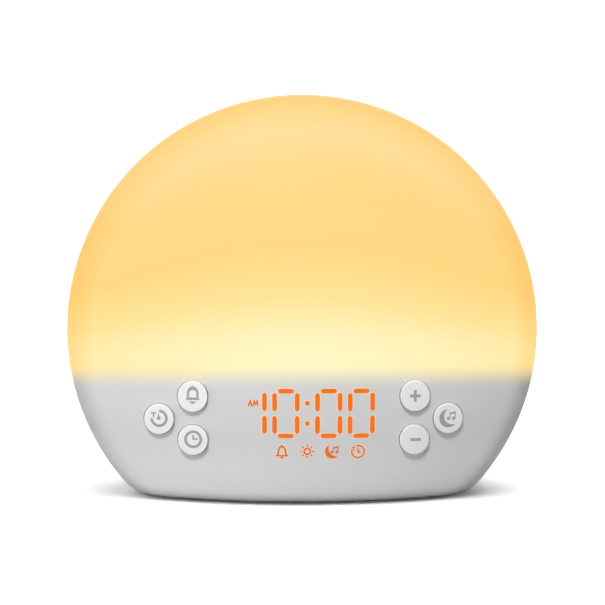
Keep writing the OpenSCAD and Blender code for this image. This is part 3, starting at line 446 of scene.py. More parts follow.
def moulded(name, colour, roughness, grain=0.5, relief=0.02, shade=0.94):
    """A moulded plastic with a grain of that size and relief in millimetres. Shade is how bright the
    dull patches left by the flow of the melt are."""
    material = blank_material(name)
    place = add_node(material, "TexCoord")
    flow = add_node(material, "TexNoise", {"Scale": 1 / (flow_width * MM), "Detail": 3.0},
                    {"Vector": (place, "Object")})
    tone = add_node(material, "Mix",
                    {"data_type": "RGBA", 6: darker(colour, shade), 7: paint(colour)}, {0: (flow, 0)})
    pits = add_node(material, "TexNoise", {"Scale": 1 / (grain * MM), "Detail": 2.0},
                    {"Vector": (place, "Object")})
    satin = add_node(material, "MapRange",
                     {"To Min": roughness - 0.04, "To Max": roughness + 0.04}, {"Value": (flow, 0)})
    bump = add_node(material, "Bump", {"Strength": 0.5, "Distance": relief * MM},
                    {"Height": (pits, 0)})
    shader = add_node(material, "BsdfPrincipled", {"IOR": plastic_ior},
                      {"Base Color": (tone, 2), "Roughness": (satin, 0), "Normal": (bump, 0)})
    add_node(material, "OutputMaterial", links={"Surface": (shader, 0)})
    return material


def dress(material, *names):
    """Gives CAD nodes their finish."""
    for name in names:
        data = nodes[name].data
        data.materials.clear()
        data.materials.append(material)


# ---------------------------------------------------------------- front shell
# One piece of opal white polycarbonate, injection moulded. The lamp board behind it lights the upper
# half, palest just above the board, and the shelf inside cuts the light off with a soft edge.
button_cap_r = 6.2
button_x_inner, button_x_outer = 43.9, 57.4
button_z_top, button_z_mid, button_z_low = 45.8, 35.7, 27.6
button_at = {
    "alarm": (-button_x_inner, button_z_top), "timer": (-button_x_outer, button_z_mid),
    "clock": (-button_x_inner, button_z_low), "plus": (button_x_inner, button_z_top),
    "minus": (button_x_inner, button_z_low), "sleep_sound": (button_x_outer, button_z_mid)}


# the lamp's light on the shell, in millimetres
dark_z, lit_z = 42.6, 53.1        # where the light begins above the shelf, and where it is full
shelf_slope = 0.158               # how much this edge drops for each millimetre towards the back
palest_z = 55
sideways_share = 0.19             # how much a step to the side counts against a step up
side_hurry = 0.7                  # how much faster the light yellows at the sides than in the middle
full_way = 100                    # the way over which the light takes all its colours
deep_r = 84                       # where the rolled edge begins to look deeper
full_table_light_z, no_table_light_z = 6, 32     # between these heights the colour turns lighter towards the base: painted light from the table
opal_flow_width, opal_grain = 30, 0.6


def lamp_light(material, place, axes, rim=None):
    """How much of the lamp's light comes through the wall, and its colour. Rim is the radius where the
    light begins on a shell that the lamp only lights along its rim, and the radius where it is full."""
    # the soft edge of the shelf's shadow drops from the face to the back
    level = add_node(material, "Math", {"operation": "MULTIPLY_ADD", 1: shelf_slope},
                     {0: (axes, "Y"), 2: (axes, "Z")})
    lit = add_node(material, "MapRange",
                   {"interpolation_type": "SMOOTHSTEP", "From Min": dark_z * MM,
                    "From Max": lit_z * MM}, {"Value": (level, 0)})
    # the light yellows with its way from the board, and faster towards the sides
    square = add_node(material, "Math", {"operation": "MULTIPLY"},
                      {0: (axes, "X"), 1: (axes, "X")})
    faster = add_node(material, "Math",
                      {"operation": "MULTIPLY_ADD", 1: side_hurry / (face_r * MM) ** 2, 2: 1.0},
                      {0: (square, 0)})
    above = add_node(material, "Math", {"operation": "SUBTRACT", 1: palest_z * MM},
                     {0: (level, 0)})
    above = add_node(material, "Math", {"operation": "MULTIPLY"},
                     {0: (above, 0), 1: (faster, 0)})
    sideways = add_node(material, "Math", {"operation": "MULTIPLY", 1: sideways_share},
                        {0: (axes, "X")})
    way = add_node(material, "CombineXYZ", links={0: (sideways, 0), 1: (above, 0)})
    way = add_node(material, "VectorMath", {"operation": "LENGTH"}, {0: (way, 0)})
    way = add_node(material, "Math", {"operation": "DIVIDE", 1: full_way * MM},
                   {0: (way, "Value")})
    colour = add_node(material, "ValToRGB", {"stops": [
        (0, "#f8f3c4"), (0.12, "#f8ebb3"), (0.24, "#f8dd96"), (0.45, "#f8d07e"),
        (0.75, "#f8d084"), (1, "#f8d798")]}, {0: (way, 0)})
    # the rolled edge is seen through more plastic, which deepens its colour
    middle = add_node(material, "VectorMath",
                      {"operation": "SUBTRACT", 1: (0, 0, face_z * MM)}, {0: (place, "Object")})
    middle = add_node(material, "VectorMath", {"operation": "MULTIPLY", 1: (1, 0, 1)},
                      {0: (middle, 0)})
    out = add_node(material, "VectorMath", {"operation": "LENGTH"}, {0: (middle, 0)})
    if rim:
        outer = add_node(material, "MapRange",
                         {"interpolation_type": "SMOOTHSTEP", "From Min": rim[0] * MM,
                          "From Max": rim[1] * MM}, {"Value": (out, "Value")})
        lit = add_node(material, "Math", {"operation": "MULTIPLY"},
                       {0: (lit, 0), 1: (outer, 0)})
    # this mask also darkens the plain colour towards the rolled edge in opal: painted shade
    edge = add_node(material, "MapRange",
                    {"interpolation_type": "SMOOTHSTEP", "From Min": deep_r * MM,
                     "From Max": face_r * MM}, {"Value": (out, "Value")})
    share = add_node(material, "Math", {"operation": "DIVIDE", 1: face_r * MM},
                     {0: (out, "Value")})
    filtered = add_node(material, "ValToRGB", {"stops": [
        (0.88, "#ffffff"), (0.95, "#fdf5e1"), (0.982, "#fceece"), (0.998, "#f4e4c4")]},
        {0: (share, 0)})
    deep = add_node(material, "Mix",
                    {"data_type": "RGBA", "blend_type": "MULTIPLY", 0: 1.0},
                    {6: (colour, 0), 7: (filtered, 0)})
    return lit, deep, edge


def opal(name, white, table_light_tone, lit_tone, roughness, rim=None, through=1.0):
    """White moulded plastic that the lamp shines through. Table_light_tone is its colour near the
    table, lighter there as painted light from the table; lit_tone is the darker colour it is given
    where it glows, and through the share of the light that passes."""
    material = blank_material(name)
    place = add_node(material, "TexCoord")
    axes = add_node(material, "SeparateXYZ", links={0: (place, "Object")})
    lit, glow, edge = lamp_light(material, place, axes, rim)
    flow = add_node(material, "TexNoise",
                    {"Scale": 1 / (opal_flow_width * MM), "Detail": 3.0}, {"Vector": (place, "Object")})
    tone = add_node(material, "Mix",
                    {"data_type": "RGBA", 6: darker(white, 0.97), 7: paint(white)}, {0: (flow, 0)})
    # painted shade: the plain colour is darkened towards the rolled edge
    rim_shaded = add_node(material, "Mix",
                    {"data_type": "RGBA", "blend_type": "MULTIPLY", 7: paint("#e4e4e5")},
                    {0: (edge, 0), 6: (tone, 2)})
    # painted light: the colour turns lighter towards the base, standing in for light from the white
    # table
    low = add_node(material, "MapRange",
                   {"interpolation_type": "SMOOTHSTEP", "From Min": no_table_light_z * MM,
                    "From Max": full_table_light_z * MM}, {"Value": (axes, "Z")})
    table_lit = add_node(material, "Mix", {"data_type": "RGBA", 7: paint(table_light_tone)},
                     {0: (low, 0), 6: (rim_shaded, 2)})
    body = add_node(material, "Mix", {"data_type": "RGBA", 7: paint(lit_tone)},
                    {0: (lit, 0), 6: (table_lit, 2)})
    passed = add_node(material, "Math", {"operation": "MULTIPLY", 1: through}, {0: (lit, 0)})
    pits = add_node(material, "TexNoise", {"Scale": 1 / (opal_grain * MM), "Detail": 2.0},
                    {"Vector": (place, "Object")})
    bump = add_node(material, "Bump", {"Strength": 0.4, "Distance": 0.02 * MM},
                    {"Height": (pits, 0)})
    satin = add_node(material, "MapRange",
                     {"To Min": roughness - 0.03, "To Max": roughness + 0.03}, {"Value": (flow, 0)})
    # gloss shows on the dark part, and drowns in the light above
    gloss = add_node(material, "MapRange", {"To Min": 0.4, "To Max": 0.08},
                     {"Value": (lit, 0)})
    shader = add_node(material, "BsdfPrincipled", {"IOR": plastic_ior},
                      {"Base Color": (body, 2), "Roughness": (satin, 0), "Normal": (bump, 0),
                       "Specular IOR Level": (gloss, 0), "Emission Color": (glow, 2),
                       "Emission Strength": (passed, 0)})
    add_node(material, "OutputMaterial", links={"Surface": (shader, 0)})
    return material


# its colour near the base is lighter than the rest as painted light from the table
front_opal = opal("opal_polycarbonate_moulded", "#c9c9cb", "#d5d5d6", "#463a1e", 0.5)
# the caps and their holes are drawn to look round and level to an eye a little above the table, and
# each hole lies a little low round its cap
seen_cap_r, seen_gap, hole_lip, hole_drop, cap_tall = 5.96, 0.26, 0.12, 0.1, 1.05
seen_aside = {"left": 0.1, "right": 0.3}
seen_drop = 0.2
lean_at_1 = -1 / 1030             # how much a cap leans for each millimetre to the right of the middle
seen_at = {name: (x + seen_aside["right" if x > 0 else "left"], z - seen_drop)
           for name, (x, z) in button_at.items()}
cap_lean = {name: x * lean_at_1 for name, (x, z) in seen_at.items()}
front_holes = [hole(x, z - hole_drop, seen_cap_r + seen_gap, hole_lip, 64, (0.7, 1.7), tall=cap_tall,
                    lean=cap_lean[name]) for name, (x, z) in seen_at.items()]
front = shell_mesh(front_side, seam_y, front_holes)
tower_r, shank_r, head_r = 3.8, 1.2, 2.7
rim_screw_r = 90
rim_screw_turns = [math.radians(a) for a in (-88, -32, 32, 88)]
rim_screws = [(rim_screw_r * math.sin(a), face_z + rim_screw_r * math.cos(a)) for a in rim_screw_turns]
base_screws = [(-29, 9), (29, 9)]
for x, z in rim_screws + base_screws:
    post(front, front_side, x, z, tower_r - 0.4, shank_r, wall / 2, seam_y)
finish_piece(front, "front_shell_skin", "root", front_opal, ["front_shell"])


# ---------------------------------------------------------------- rear cover
# The other half, moulded in opaque white ABS: screw wells, the grille of the speaker and a recess
# for the plug. Light that leaks at the seam tints only its rim.
rear_white = opal("white_abs_moulded", "#e6e6e5", "#e6e6e5", "#463a1e", 0.45, rim=(93, 94.6))
grille_z, grille_pitch, grille_hole_r, grille_r = 30, 3.6, 1.1, 16
grille_rows = int(grille_r / grille_pitch / row_step)
rear_holes = []
for row in range(-grille_rows, grille_rows + 1):
    for column in range(-grille_rows, grille_rows + 1):
        x = (column + row % 2 / 2) * grille_pitch
        z = row * row_step * grille_pitch
        if math.hypot(x, z) < grille_r - grille_hole_r:
            rear_holes.append(hole(x, grille_z + z, grille_hole_r, 0.15, 24, (0.4,)))
well_r, shank_hole_r = head_r + fit_gap, shank_r + 0.5
rim_seat_y, base_seat_y = seam_y + 6.8, seam_y + 10.8
tower_y = seam_y + seam_gap
for spots, seat_y, guard in ((rim_screws, rim_seat_y, (0.8,)), (base_screws, base_seat_y, (1.4, 2.6))):
    well = ((well_r, seat_y), (shank_hole_r, seat_y), (shank_hole_r, tower_y), (tower_r, tower_y))
    rear_holes += [hole(x, z, well_r, 0.3, 48, guard, tower_r, well) for x, z in spots]
plug_x, plug_z, recess_r, recess_wall = 47.977, 16, 6, 1.6
recess_floor_y, nose_r = 26.42, 3.9
recess_back_y = recess_floor_y - recess_wall
rear_holes.append(hole(plug_x, plug_z, recess_r, 0.5, 72, (1.5, 2.6), recess_r + recess_wall, (
    (recess_r, recess_floor_y), (nose_r + fit_gap, recess_floor_y), (nose_r + fit_gap, recess_back_y),
    (recess_r + recess_wall, recess_back_y))))
rear = shell_mesh(back_side, seam_y + seam_gap, rear_holes)
# the lip that reaches into the front shell, from its root in the wall round its tip and back
lip_out, lip_in, lip_reach = wall + fit_gap, wall + fit_gap + 1.4, 3
lip_profile = ((wall - 0.4, seam_gap), (lip_out, seam_gap), (lip_out, 0.2 - lip_reach),
               (lip_out + 0.2, -lip_reach), (lip_in, -lip_reach), (lip_in, 4), (wall - 0.4, 4))
lip_rows = [[rear.verts.new(rim_point(turn, inset, seam_y + y)) for turn in turns_round]
            for inset, y in lip_profile]
join_rows(rear, lip_rows + lip_rows[:1])
finish_piece(rear, "rear_cover_skin", "root", rear_white, ["rear_cover"])


# ---------------------------------------------------------------- printed and lit signs
# Thin shapes that lie on a curved face: pad-printed ink on the caps, and windows of light in the
# shell. They follow the face at a height above it.
def ring_path(x, z, r, start, end, count=48):
    """Points on a circle from start to end, in degrees clockwise from the top."""
    turns = [math.radians(start + (end - start) * i / count) for i in range(count + 1)]
    return [(x + r * math.sin(turn), z + r * math.cos(turn)) for turn in turns]


def both_halves(path):
    """A path from the left, carried on by its mirror image to the right."""
    return path + [(-x, z) for x, z in reversed(path)]


sunk = 0.05               # how far a sign reaches into the surface that it lies on


class Sheet:
    """Draws raised shapes round a place on the front. They stand up by lift from a surface that lies
    offset above the shell's own, and may be stretched upwards and lean to the side."""

    def __init__(self, offset, lift, centre=(0, 0), tall=1, lean=0):
        self.mesh, self.offset, self.lift, self.centre = bmesh.new(), offset, lift, centre
        self.tall, self.lean = tall, lean

    def pair(self, x, z):
        """The top and the bottom point of a shape's edge."""
        x, z = x + self.centre[0], z * self.tall + x * self.lean + self.centre[1]
        return [self.mesh.verts.new(on_shell(front_side, x, z, -self.offset - height))
                for height in (self.lift, -sunk)]

    def line(self, path, width, closed=False):
        """A line with square ends. Width is one number, or one for each point."""
        widths = width if isinstance(width, list) else [width] * len(path)
        points = [Vector(point) for point in path]
        rows = []
        for i, point in enumerate(points):
            before = points[i - 1] if i or closed else None
            after = points[(i + 1) % len(points)] if i + 1 < len(points) or closed else None
            came = (point - before).normalized() if before else (after - point).normalized()
            goes = (after - point).normalized() if after else came
            mean = (came + goes).normalized()
            across = Vector((-mean.y, mean.x)) * widths[i] / 2 / max(0.5, mean.dot(came))
            rows.append(self.pair(*(point + across)) + self.pair(*(point - across))[::-1])
        join_rows(self.mesh, rows + rows[:1] if closed else rows)
        if not closed:
            self.mesh.faces.new(rows[0])
            self.mesh.faces.new(rows[-1])

    def strokes(self, path, width):
        """Straight lines that meet in sharp corners."""
        for ends in zip(path, path[1:]):
            self.line(list(ends), width)

    def patch(self, outline):
        """A filled shape."""
        pairs = [self.pair(x, z) for x, z in outline]
        for corners in tessellate_polygon([[Vector((x, z, 0)) for x, z in outline]]):
            for level in (0, 1):
                self.mesh.faces.new([pairs[i][level] for i in corners])
        band_between(self.mesh, [pair[0] for pair in pairs], [pair[1] for pair in pairs])

    def moon(self, r, tips, hollow, hollow_r):
        """A crescent between two tips: outside a circle, inside a larger hollow."""
        first, last = (math.degrees(math.atan2(x, z)) for x, z in tips)
        rim = ring_path(0, 0, r, first, last - 360, 40)
        inner = [math.degrees(math.atan2(x - hollow[0], z - hollow[1])) for x, z in tips]
        self.patch(rim[:-1] + ring_path(*hollow, hollow_r, inner[1] - 360, inner[0], 40)[:-1])

    def notes(self, x, z, size):
        """Two beamed notes in one outline: heads, stems and the slanting beam."""
        for dx, dz in ((0, 0), (1.16, 0.02)):
            self.patch(ring_path(x + dx * size, z + dz * size, 0.36 * size, 55, 405, 16))
        self.line([(x + 0.32 * size, z), (x + 0.32 * size, z + 1.14 * size),
                   (x + 1.48 * size, z + 1.4 * size), (x + 1.48 * size, z)], 0.2 * size)
        self.line([(x + 0.4 * size, z + 0.95 * size), (x + 1.4 * size, z + 1.18 * size)], 0.22 * size)


# ---------------------------------------------------------------- push buttons
# Six caps moulded in white ABS, each with its sign pad-printed in gray ink. A cap stands proud of
# the face and its flange keeps it from falling out.
cap_proud, cap_round, cap_skin, cap_wall = 1.6, 0.25, 1.6, 1.1
flange_w, flange_t, flange_round = 1.3, 1.2, 0.15
cap_points, cap_steps = 64, 6
cap_post_r, plunger_hole_r = 2, 1.2
# near the glow the caps take a cream tint and a tenth of the shell's glow: painted light from the lamp
cap_white = opal("white_abs_cap_moulded", "#e2e2e4", "#e2e2e4", "#e6e0c6", 0.4, through=0.1)
ink = moulded("gray_pad_printing_ink", "#97979a", 0.55, grain=0.3, relief=0.01, shade=0.96)


def cap_mesh(x, z, seen_x, seen_z, lean):
    """A cap: what is seen of it, then the flange and the hollow behind, which line up with its
    switch. Each row is given by its radius and its depth below the outside of the shell."""
    mesh = bmesh.new()
    flange_r, front_gap, hollow_r = button_cap_r + flange_w, wall + fit_gap, button_cap_r - cap_wall
    hollow_end = cap_skin - cap_proud
    seen = [(seen_cap_r * share, -cap_proud) for share in (0.25, 0.5, 0.75)]
    for i in range(cap_steps + 1):
        a = (1 - i / cap_steps) * math.pi / 2
        seen.append((seen_cap_r - cap_round * (1 - math.cos(a)),
                     cap_round * (1 - math.sin(a)) - cap_proud))
    seen.append((seen_cap_r, front_gap))
    hidden = [(flange_r - flange_round, front_gap), (flange_r, front_gap + flange_round),
              (flange_r, front_gap + flange_t), (hollow_r, front_gap + flange_t),
              (hollow_r, hollow_end), (1, hollow_end)]
    rows = [[mesh.verts.new(on_shell(front_side, px, pz, inset))
             for px, pz in around(seen_x, seen_z, r, cap_points, cap_tall, lean)] for r, inset in seen]
    rows += [[mesh.verts.new(on_shell(front_side, px, pz, inset))
              for px, pz in around(x, z, r, cap_points)] for r, inset in hidden]
    join_rows(mesh, rows)
    lid(mesh, rows[0], on_shell(front_side, seen_x, seen_z, -cap_proud))
    lid(mesh, rows[-1], on_shell(front_side, x, z, hollow_end))
    post(mesh, front_side, x, z, cap_post_r, plunger_hole_r, hollow_end - 0.2, plunger_y, 24)
    return mesh


plunger_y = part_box("alarm_plunger")[0][1] / MM
# the signs lie a little high on their caps, and those on the left also a little to the right
sign_shift = {"left": (0.13, 0.3), "right": (0, 0.15)}
ink_t = 0.04
signs = {}
for name, (x, z) in seen_at.items():
    aside, up = sign_shift["left" if x < 0 else "right"]
    signs[name] = Sheet(cap_proud, ink_t, (x + aside, z + up), cap_tall, cap_lean[name])
bell = signs["alarm"]
bell_side = [(-1.9, -0.8), (-1.87, 1.4), (-1.62, 2.15), (-1.15, 2.7), (-0.5, 3.05)]
bell_width = [0.95, 0.95, 1.0, 1.2, 1.5]
bell.line(both_halves(bell_side), bell_width + bell_width[::-1])
bell.patch(both_halves([(-2.8, -1.55), (-2.3, -0.5)]))
bell.patch([(-0.75, 3.5), (0, 4.1), (0.75, 3.5)])
bell.patch(both_halves([(-1.6, -2.05), (-0.85, -2.6), (-0.25, -3.05)]))
timer = signs["timer"]
timer.line(ring_path(-0.05, 0.15, 2.95, 0, 270), 1.1)
timer.patch([(-3.3, 2.6), (-1.15, 2.6), (-1.15, 1.98), (-1.9, 1.98), (-1.9, 0.65), (-2.55, 0.65),
             (-2.55, 1.98), (-3.3, 1.98)])
timer.patch([(-0.42, 2.0), (0.02, 2.0)] + ring_path(-0.2, 0.25, 0.78, 20, 340, 24))
clock = signs["clock"]
clock.line(ring_path(0, 0.2, 3.05, 0, 360)[:-1], 1.05, closed=True)
clock.line([(0, 2), (0, 0.35), (1.85, 0.35)], 0.65)
arm, plus_x, plus_z = 0.58, 2.15, 2.3     # half the thickness and the reach of the plus's arms
plus_right = [(arm, -plus_z), (arm, -arm), (plus_x, -arm), (plus_x, arm), (arm, arm), (arm, plus_z)]
signs["plus"].patch(plus_right + [(-x, -z) for x, z in plus_right])
signs["minus"].patch([(-1.7, -arm), (2.55, -arm), (2.55, arm), (-1.7, arm)])
signs["sleep_sound"].moon(3.65, ((-0.55, 3.5), (2.65, -2.35)), (1.62, 0.87), 3.33)
signs["sleep_sound"].notes(0.05, -0.08, 1.85)
for name, place in button_at.items():
    key = name + "_key"
    cap = cap_mesh(*place, *seen_at[name], cap_lean[name])
    finish_piece(cap, name + "_cap", key, cap_white, [name + "_button"])
    finish_piece(signs[name].mesh, name + "_sign", key, ink)


# ---------------------------------------------------------------- clock display
# Light guides behind the shell show as orange figures: ten o'clock in digits of seven bars, a colon,
# a mark for the morning and a row of symbols. The opal wall blurs them into a narrow pale rim.
def glowing(name, colour):
    """A window of light, a little uneven as the diode behind it isn't spread perfectly."""
    material = blank_material(name)
    place = add_node(material, "TexCoord")
    uneven = add_node(material, "TexNoise", {"Scale": 1 / (3 * MM), "Detail": 1.0},
                      {"Vector": (place, "Object")})
    level = add_node(material, "MapRange", {"To Min": 0.9, "To Max": 1.05},
                     {"Value": (uneven, 0)})
    shader = add_node(material, "BsdfPrincipled",
                      {"Base Color": paint("#120804"), "Roughness": 0.6, "Specular IOR Level": 0.08,
                       "Emission Color": paint(colour)},
                      {"Emission Strength": (level, 0)})
    add_node(material, "OutputMaterial", links={"Surface": (shader, 0)})
    return material


digit_at = ((-19.85, 39.4), (-6.95, 39.35), (9.95, 39.3), (22.85, 39.1))
bar_x, upright_z, upright_l, cross_z, cross_l, bar_w = 4.45, 4.72, 7.4, 9.25, 6.3, 1.85
bars_of = {"1": "bc", "0": "abcdef"}
bar_place = {"a": (0, cross_z), "b": (bar_x, upright_z), "c": (bar_x, -upright_z), "d": (0, -cross_z),
             "e": (-bar_x, -upright_z), "f": (-bar_x, upright_z)}
bar_tip = ((0, 0.3), (0.4, 0.75), (0.9, 1))   # how wide a bar is this far from its end, as a share
colon_x, colon_z, colon_r = 1.5, (43.67, 35.23), 0.98
mark_x, mark_z, mark_h = -21.75, 42.3, 2.6
symbol_z = 23.15
symbol_x = (-8.5, 1.5, 11.5, 21.5)


def draw_time(sheet, halo):
    """The digits and the colon, each line wider by the halo."""
    for digit, (middle, level) in zip("1000", digit_at):
        for bar in bars_of[digit]:
            flat = bar in "ad"
            x, z = middle + bar_place[bar][0], level + bar_place[bar][1]
            half = ((cross_l if flat else upright_l) + halo) / 2
            start = [(reach - half, share) for reach, share in bar_tip]
            steps = start + [(half * i / 5, 1) for i in (-3, -1, 1, 3)]
            steps += [(-t, share) for t, share in reversed(start)]
            path = [(x + t, z) if flat else (x, z + t) for t, share in steps]
            sheet.line(path, [(bar_w + halo) * share for t, share in steps])
    for z in colon_z:
        sheet.patch(ring_path(colon_x, z, colon_r + halo / 2, 0, 345, 23))


def draw_signs(sheet, halo):
    """The mark for the morning and the four symbols, each line wider by the halo."""
    thin, fine, finest = 0.64 + halo, 0.6 + halo, 0.48 + halo
    x, z, top = mark_x, mark_z, mark_z + mark_h
    sheet.strokes([(x, z), (x + 0.75, top), (x + 1.5, z)], finest)
    sheet.line([(x + 0.4, z + 0.8), (x + 1.1, z + 0.8)], finest - 0.03)
    sheet.strokes([(x + 2.15, z), (x + 2.2, top), (x + 2.9, z + 0.6), (x + 3.6, top),
                   (x + 3.65, z)], finest)
    # bell, sun, moon with notes, and clock
    sheet.centre = (symbol_x[0], symbol_z + 0.2)
    sheet.line(both_halves([(-2.1, -1.65), (-1.5, -0.9), (-1.4, 0.6), (-1.0, 1.6), (-0.4, 2.15)]),
               thin, closed=True)
    sheet.patch(ring_path(0, 2.6, 0.4 + halo / 2, 0, 330, 11))
    sheet.patch(ring_path(0, -2.1, 0.76 + halo / 2, 90, 270, 12))
    sheet.centre = (symbol_x[1], symbol_z + 0.4)
    sheet.line(ring_path(0, 0, 1.24, 0, 345, 23), thin, closed=True)
    for turn in range(0, 360, 45):
        sheet.line([ring_path(0, 0, r, turn, turn, 1)[0] for r in (2.05, 2.8)], fine)
    sheet.centre = (symbol_x[2], symbol_z + 0.25)
    sheet.moon(3 + halo / 2, ((-1.32, 2.65), (2.14, -2.05)), (1.78, 1.27), 3.37)
    sheet.notes(-0.2, -0.25, 1.66)
    sheet.centre = (symbol_x[3] + 0.15, symbol_z)
    sheet.line(ring_path(0, 0, 2.5, -14, 288), thin)
    sheet.line([(0.1, 1.3), (0.1, -0.2), (1.0, -0.2)], fine)
    sheet.line([(-2.35, 1.85), (-1.15, 1.85)], finest)
    sheet.line([(-1.72, 1.65), (-1.72, 0.35)], finest)


bright = glowing("orange_light_through_opal", "#f27511")
dim = glowing("dim_orange_light_through_opal", "#de7020")
blurred = moulded("opal_tinted_by_scattered_light", "#ead6c3", 0.5)
light_lift, blur_lift, blur_halo = 0.1, 0.05, 0.75
time_sheet, sign_sheet = Sheet(0, light_lift), Sheet(0, light_lift)
blur_sheet = Sheet(0, blur_lift)
draw_time(time_sheet, 0)
draw_signs(sign_sheet, 0)
draw_time(blur_sheet, blur_halo)
draw_signs(blur_sheet, blur_halo)
finish_piece(time_sheet.mesh, "display_figures", "root", bright)
finish_piece(sign_sheet.mesh, "display_signs", "root", dim)
finish_piece(blur_sheet.mesh, "display_blur", "root", blurred)


# ---------------------------------------------------------------- metals, boards and cloth
# Steel, brass and copper keep the fine marks of their working and have darker patches of tarnish.
# Boards and cloth show their weave. The finest is drawn coarser than it is, so that it shows.
stain_width = 6           # in millimetres, as the marks and threads below
wave_length = 0.314       # of the wave texture at a scale of 1


def worked_metal(name, colour, roughness, scratch=(1, 1, 1), wear=0.85, relief=0.004):
    """A metal with the marks of its working. Scratch is how fine they are along each axis, in marks
    per millimetre, so that long marks come from a small number. Wear is how bright its stains are."""
    material = blank_material(name)
    place = add_node(material, "TexCoord")
    marks_at = add_node(material, "Mapping", {"Scale": [n / MM for n in scratch]},
                        {"Vector": (place, "Object")})
    marks = add_node(material, "TexNoise", {"Scale": 1.0, "Detail": 4.0},
                     {"Vector": (marks_at, 0)})
    stains = add_node(material, "TexNoise", {"Scale": 1 / (stain_width * MM)},
                      {"Vector": (place, "Object")})
    tone = add_node(material, "Mix",
                    {"data_type": "RGBA", 6: darker(colour, wear), 7: paint(colour)}, {0: (stains, 0)})
    gloss = add_node(material, "MapRange",
                     {"To Min": roughness * 0.75, "To Max": roughness * 1.3}, {"Value": (marks, 0)})
    bump = add_node(material, "Bump", {"Strength": 0.4, "Distance": relief * MM},
                    {"Height": (marks, 0)})
    shader = add_node(material, "BsdfPrincipled", {"Metallic": 1.0},
                      {"Base Color": (tone, 2), "Roughness": (gloss, 0), "Normal": (bump, 0)})
    add_node(material, "OutputMaterial", links={"Surface": (shader, 0)})
    return material


def woven(name, colour, dark, pitch, roughness, relief):
    """A cloth or glass weave: two sets of threads that cross, at a pitch in millimetres."""
    material = blank_material(name)
    place = add_node(material, "TexCoord")
    threads = [add_node(material, "TexWave",
                        {"bands_direction": axis, "Scale": wave_length / (pitch * MM),
                         "Distortion": 0.6, "Detail": 1.0}, {"Vector": (place, "Object")})
               for axis in ("X", "Z")]
    weave = add_node(material, "Math", {"operation": "MULTIPLY"},
                     {0: (threads[0], "Fac"), 1: (threads[1], "Fac")})
    tone = add_node(material, "Mix", {"data_type": "RGBA", 6: paint(dark), 7: paint(colour)},
                    {0: (weave, 0)})
    bump = add_node(material, "Bump", {"Strength": 0.6, "Distance": relief * MM},
                    {"Height": (weave, 0)})
    shader = add_node(material, "BsdfPrincipled", {"Roughness": roughness},
                      {"Base Color": (tone, 2), "Normal": (bump, 0)})
    add_node(material, "OutputMaterial", links={"Surface": (shader, 0)})
    return material


# ---------------------------------------------------------------- lamp inside
# A white bowl and shelf, moulded with a smooth face that throws the light forward, screwed to bosses
# of the rear cover. The board in it is aluminium with white solder mask and a row of warm diodes. A
# strip of copper foil under the top of the shell feels a hand through the plastic.
dress(moulded("white_reflector_smooth_moulded", "#f3f1ea", 0.25, relief=0.005), "reflector")
dress(woven("white_solder_mask_on_aluminium", "#ecebe5", "#e2e1da", 0.6, 0.3, 0.004), "lamp_board")
dress(glowing("diode_phosphor_lit", "#ffd27a"), "lamp_leds")
dress(worked_metal("copper_foil_rolled", "#c67b58", 0.3, (0.2, 4, 4)), "touch_foil")


# ---------------------------------------------------------------- main board
# A green glass-fibre board behind the face carries the clock's chips, sockets and six switches. The
# display stands on its front: a black housing, milky light guides and small orange diodes.
board_green = woven("green_solder_mask_on_glass_fibre", "#1c5a38", "#164c2e", 0.6, 0.32, 0.006)
epoxy = moulded("black_epoxy_moulded", "#1d1d1f", 0.5, grain=0.3, relief=0.01, shade=0.8)
black_abs = moulded("black_abs_moulded", "#151517", 0.4, shade=0.8)
dress(board_green, "main_board")
dress(epoxy, "controller_chip", "small_chips")
dress(black_abs, "display_housing", "light_shield", "coin_cell_holder", "switch_bodies")
dress(moulded("milky_acrylic_moulded", "#f4c9a0", 0.3, relief=0.005), "display_light_guides")
dress(glowing("orange_diode_lit", "#ff8420"), "display_leds")
dress(moulded("nylon_moulded", "#e9e4d4", 0.42, shade=0.92), "board_connectors",
      *[name + "_plunger" for name in button_at])
dress(moulded("dark_blue_sleeve_shrunk", "#232a44", 0.3, relief=0.005, shade=0.85), "capacitors")
dress(worked_metal("stainless_steel_pressed", "#c8c8ca", 0.25, (1.5, 1.5, 1.5)), "coin_cell")


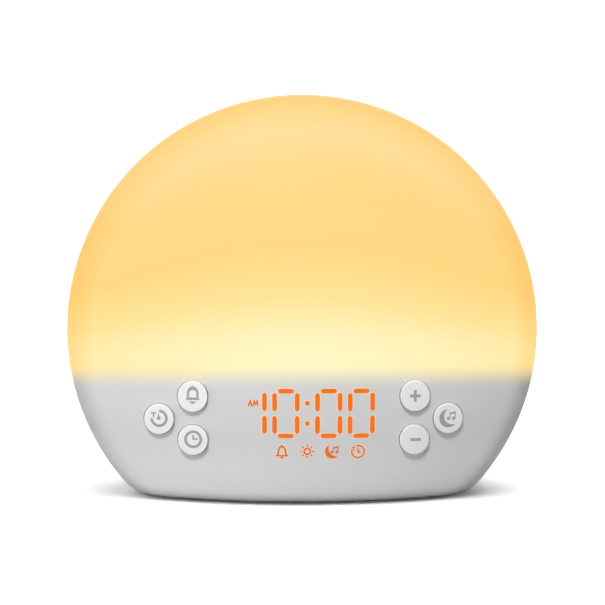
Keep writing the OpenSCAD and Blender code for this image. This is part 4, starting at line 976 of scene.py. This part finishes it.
# ---------------------------------------------------------------- speaker
# A small round loudspeaker sits behind the grille: a zinc-plated basket, a ferrite magnet between
# steel plates, and a paper cone that its cloth spider centres round the magnet's gap.
dress(worked_metal("zinc_plated_steel_pressed", "#b3b6b9", 0.35, (0.8, 0.8, 0.8)), "speaker_basket",
      "speaker_yoke", "speaker_top_plate")
dress(moulded("ferrite_sintered_and_ground", "#2a2a2c", 0.6, grain=0.25, relief=0.02, shade=0.75),
      "speaker_magnet")
dress(moulded("black_pulp_pressed", "#1e1e20", 0.85, grain=1.1, relief=0.08, shade=0.7), "speaker_cone")
dress(moulded("black_rubber_moulded", "#151515", 0.7, shade=0.8), "speaker_surround")
dress(woven("spider_cloth_resin_stiffened", "#b9924a", "#8d6a30", 0.5, 0.7, 0.06), "speaker_spider")
dress(worked_metal("enamelled_copper_wire_wound", "#b8683c", 0.3, (0.4, 8, 0.4), relief=0.02),
      "voice_coil")
dress(moulded("black_foam_closed_cell", "#1b1b1c", 0.95, grain=0.7, relief=0.15, shade=0.7),
      "speaker_gasket")
dress(moulded("brown_paper_board_resin_bonded", "#7d5c3a", 0.6, grain=0.9, relief=0.02, shade=0.85),
      "speaker_terminal")
dress(woven("black_grille_cloth", "#1c1c1e", "#0b0b0c", 0.45, 0.9, 0.08), "grille_cloth")


# ---------------------------------------------------------------- power inlet, screws and leads
# The plug meets a black barrel socket with a nickel-plated pin, on a small green board. Zinc-plated
# screws hold the boards and the two shells, and the leads have a skin of soft coloured vinyl.
dress(board_green, "power_board")
dress(epoxy, "power_board_parts")
dress(black_abs, "dc_jack")
dress(worked_metal("nickel_plated_brass", "#cfcbc0", 0.18, (2, 0.3, 2)), "dc_jack_pin")
dress(worked_metal("zinc_plated_screw_steel", "#b9bbbd", 0.3, (2, 2, 2)), "housing_screws",
      "board_screws", "speaker_screws", "reflector_screws", "power_board_screws")
for lead, colour in (("speaker_cable", "#9c2018"), ("lamp_cable", "#dededa"),
                     ("power_cable", "#1a1a1a"), ("touch_lead", "#d7a52a")):
    dress(moulded(lead + "_vinyl_extruded", colour, 0.45, grain=0.8, relief=0.01, shade=0.88), lead)


# ---------------------------------------------------------------- feet
# Four soft discs of moulded rubber, stuck into shallow pockets of the base. The clock stands on them,
# and they keep it from sliding when a key is pressed.
dress(moulded("gray_foot_rubber_moulded", "#39393c", 0.75, grain=0.4, relief=0.03, shade=0.8), "feet")
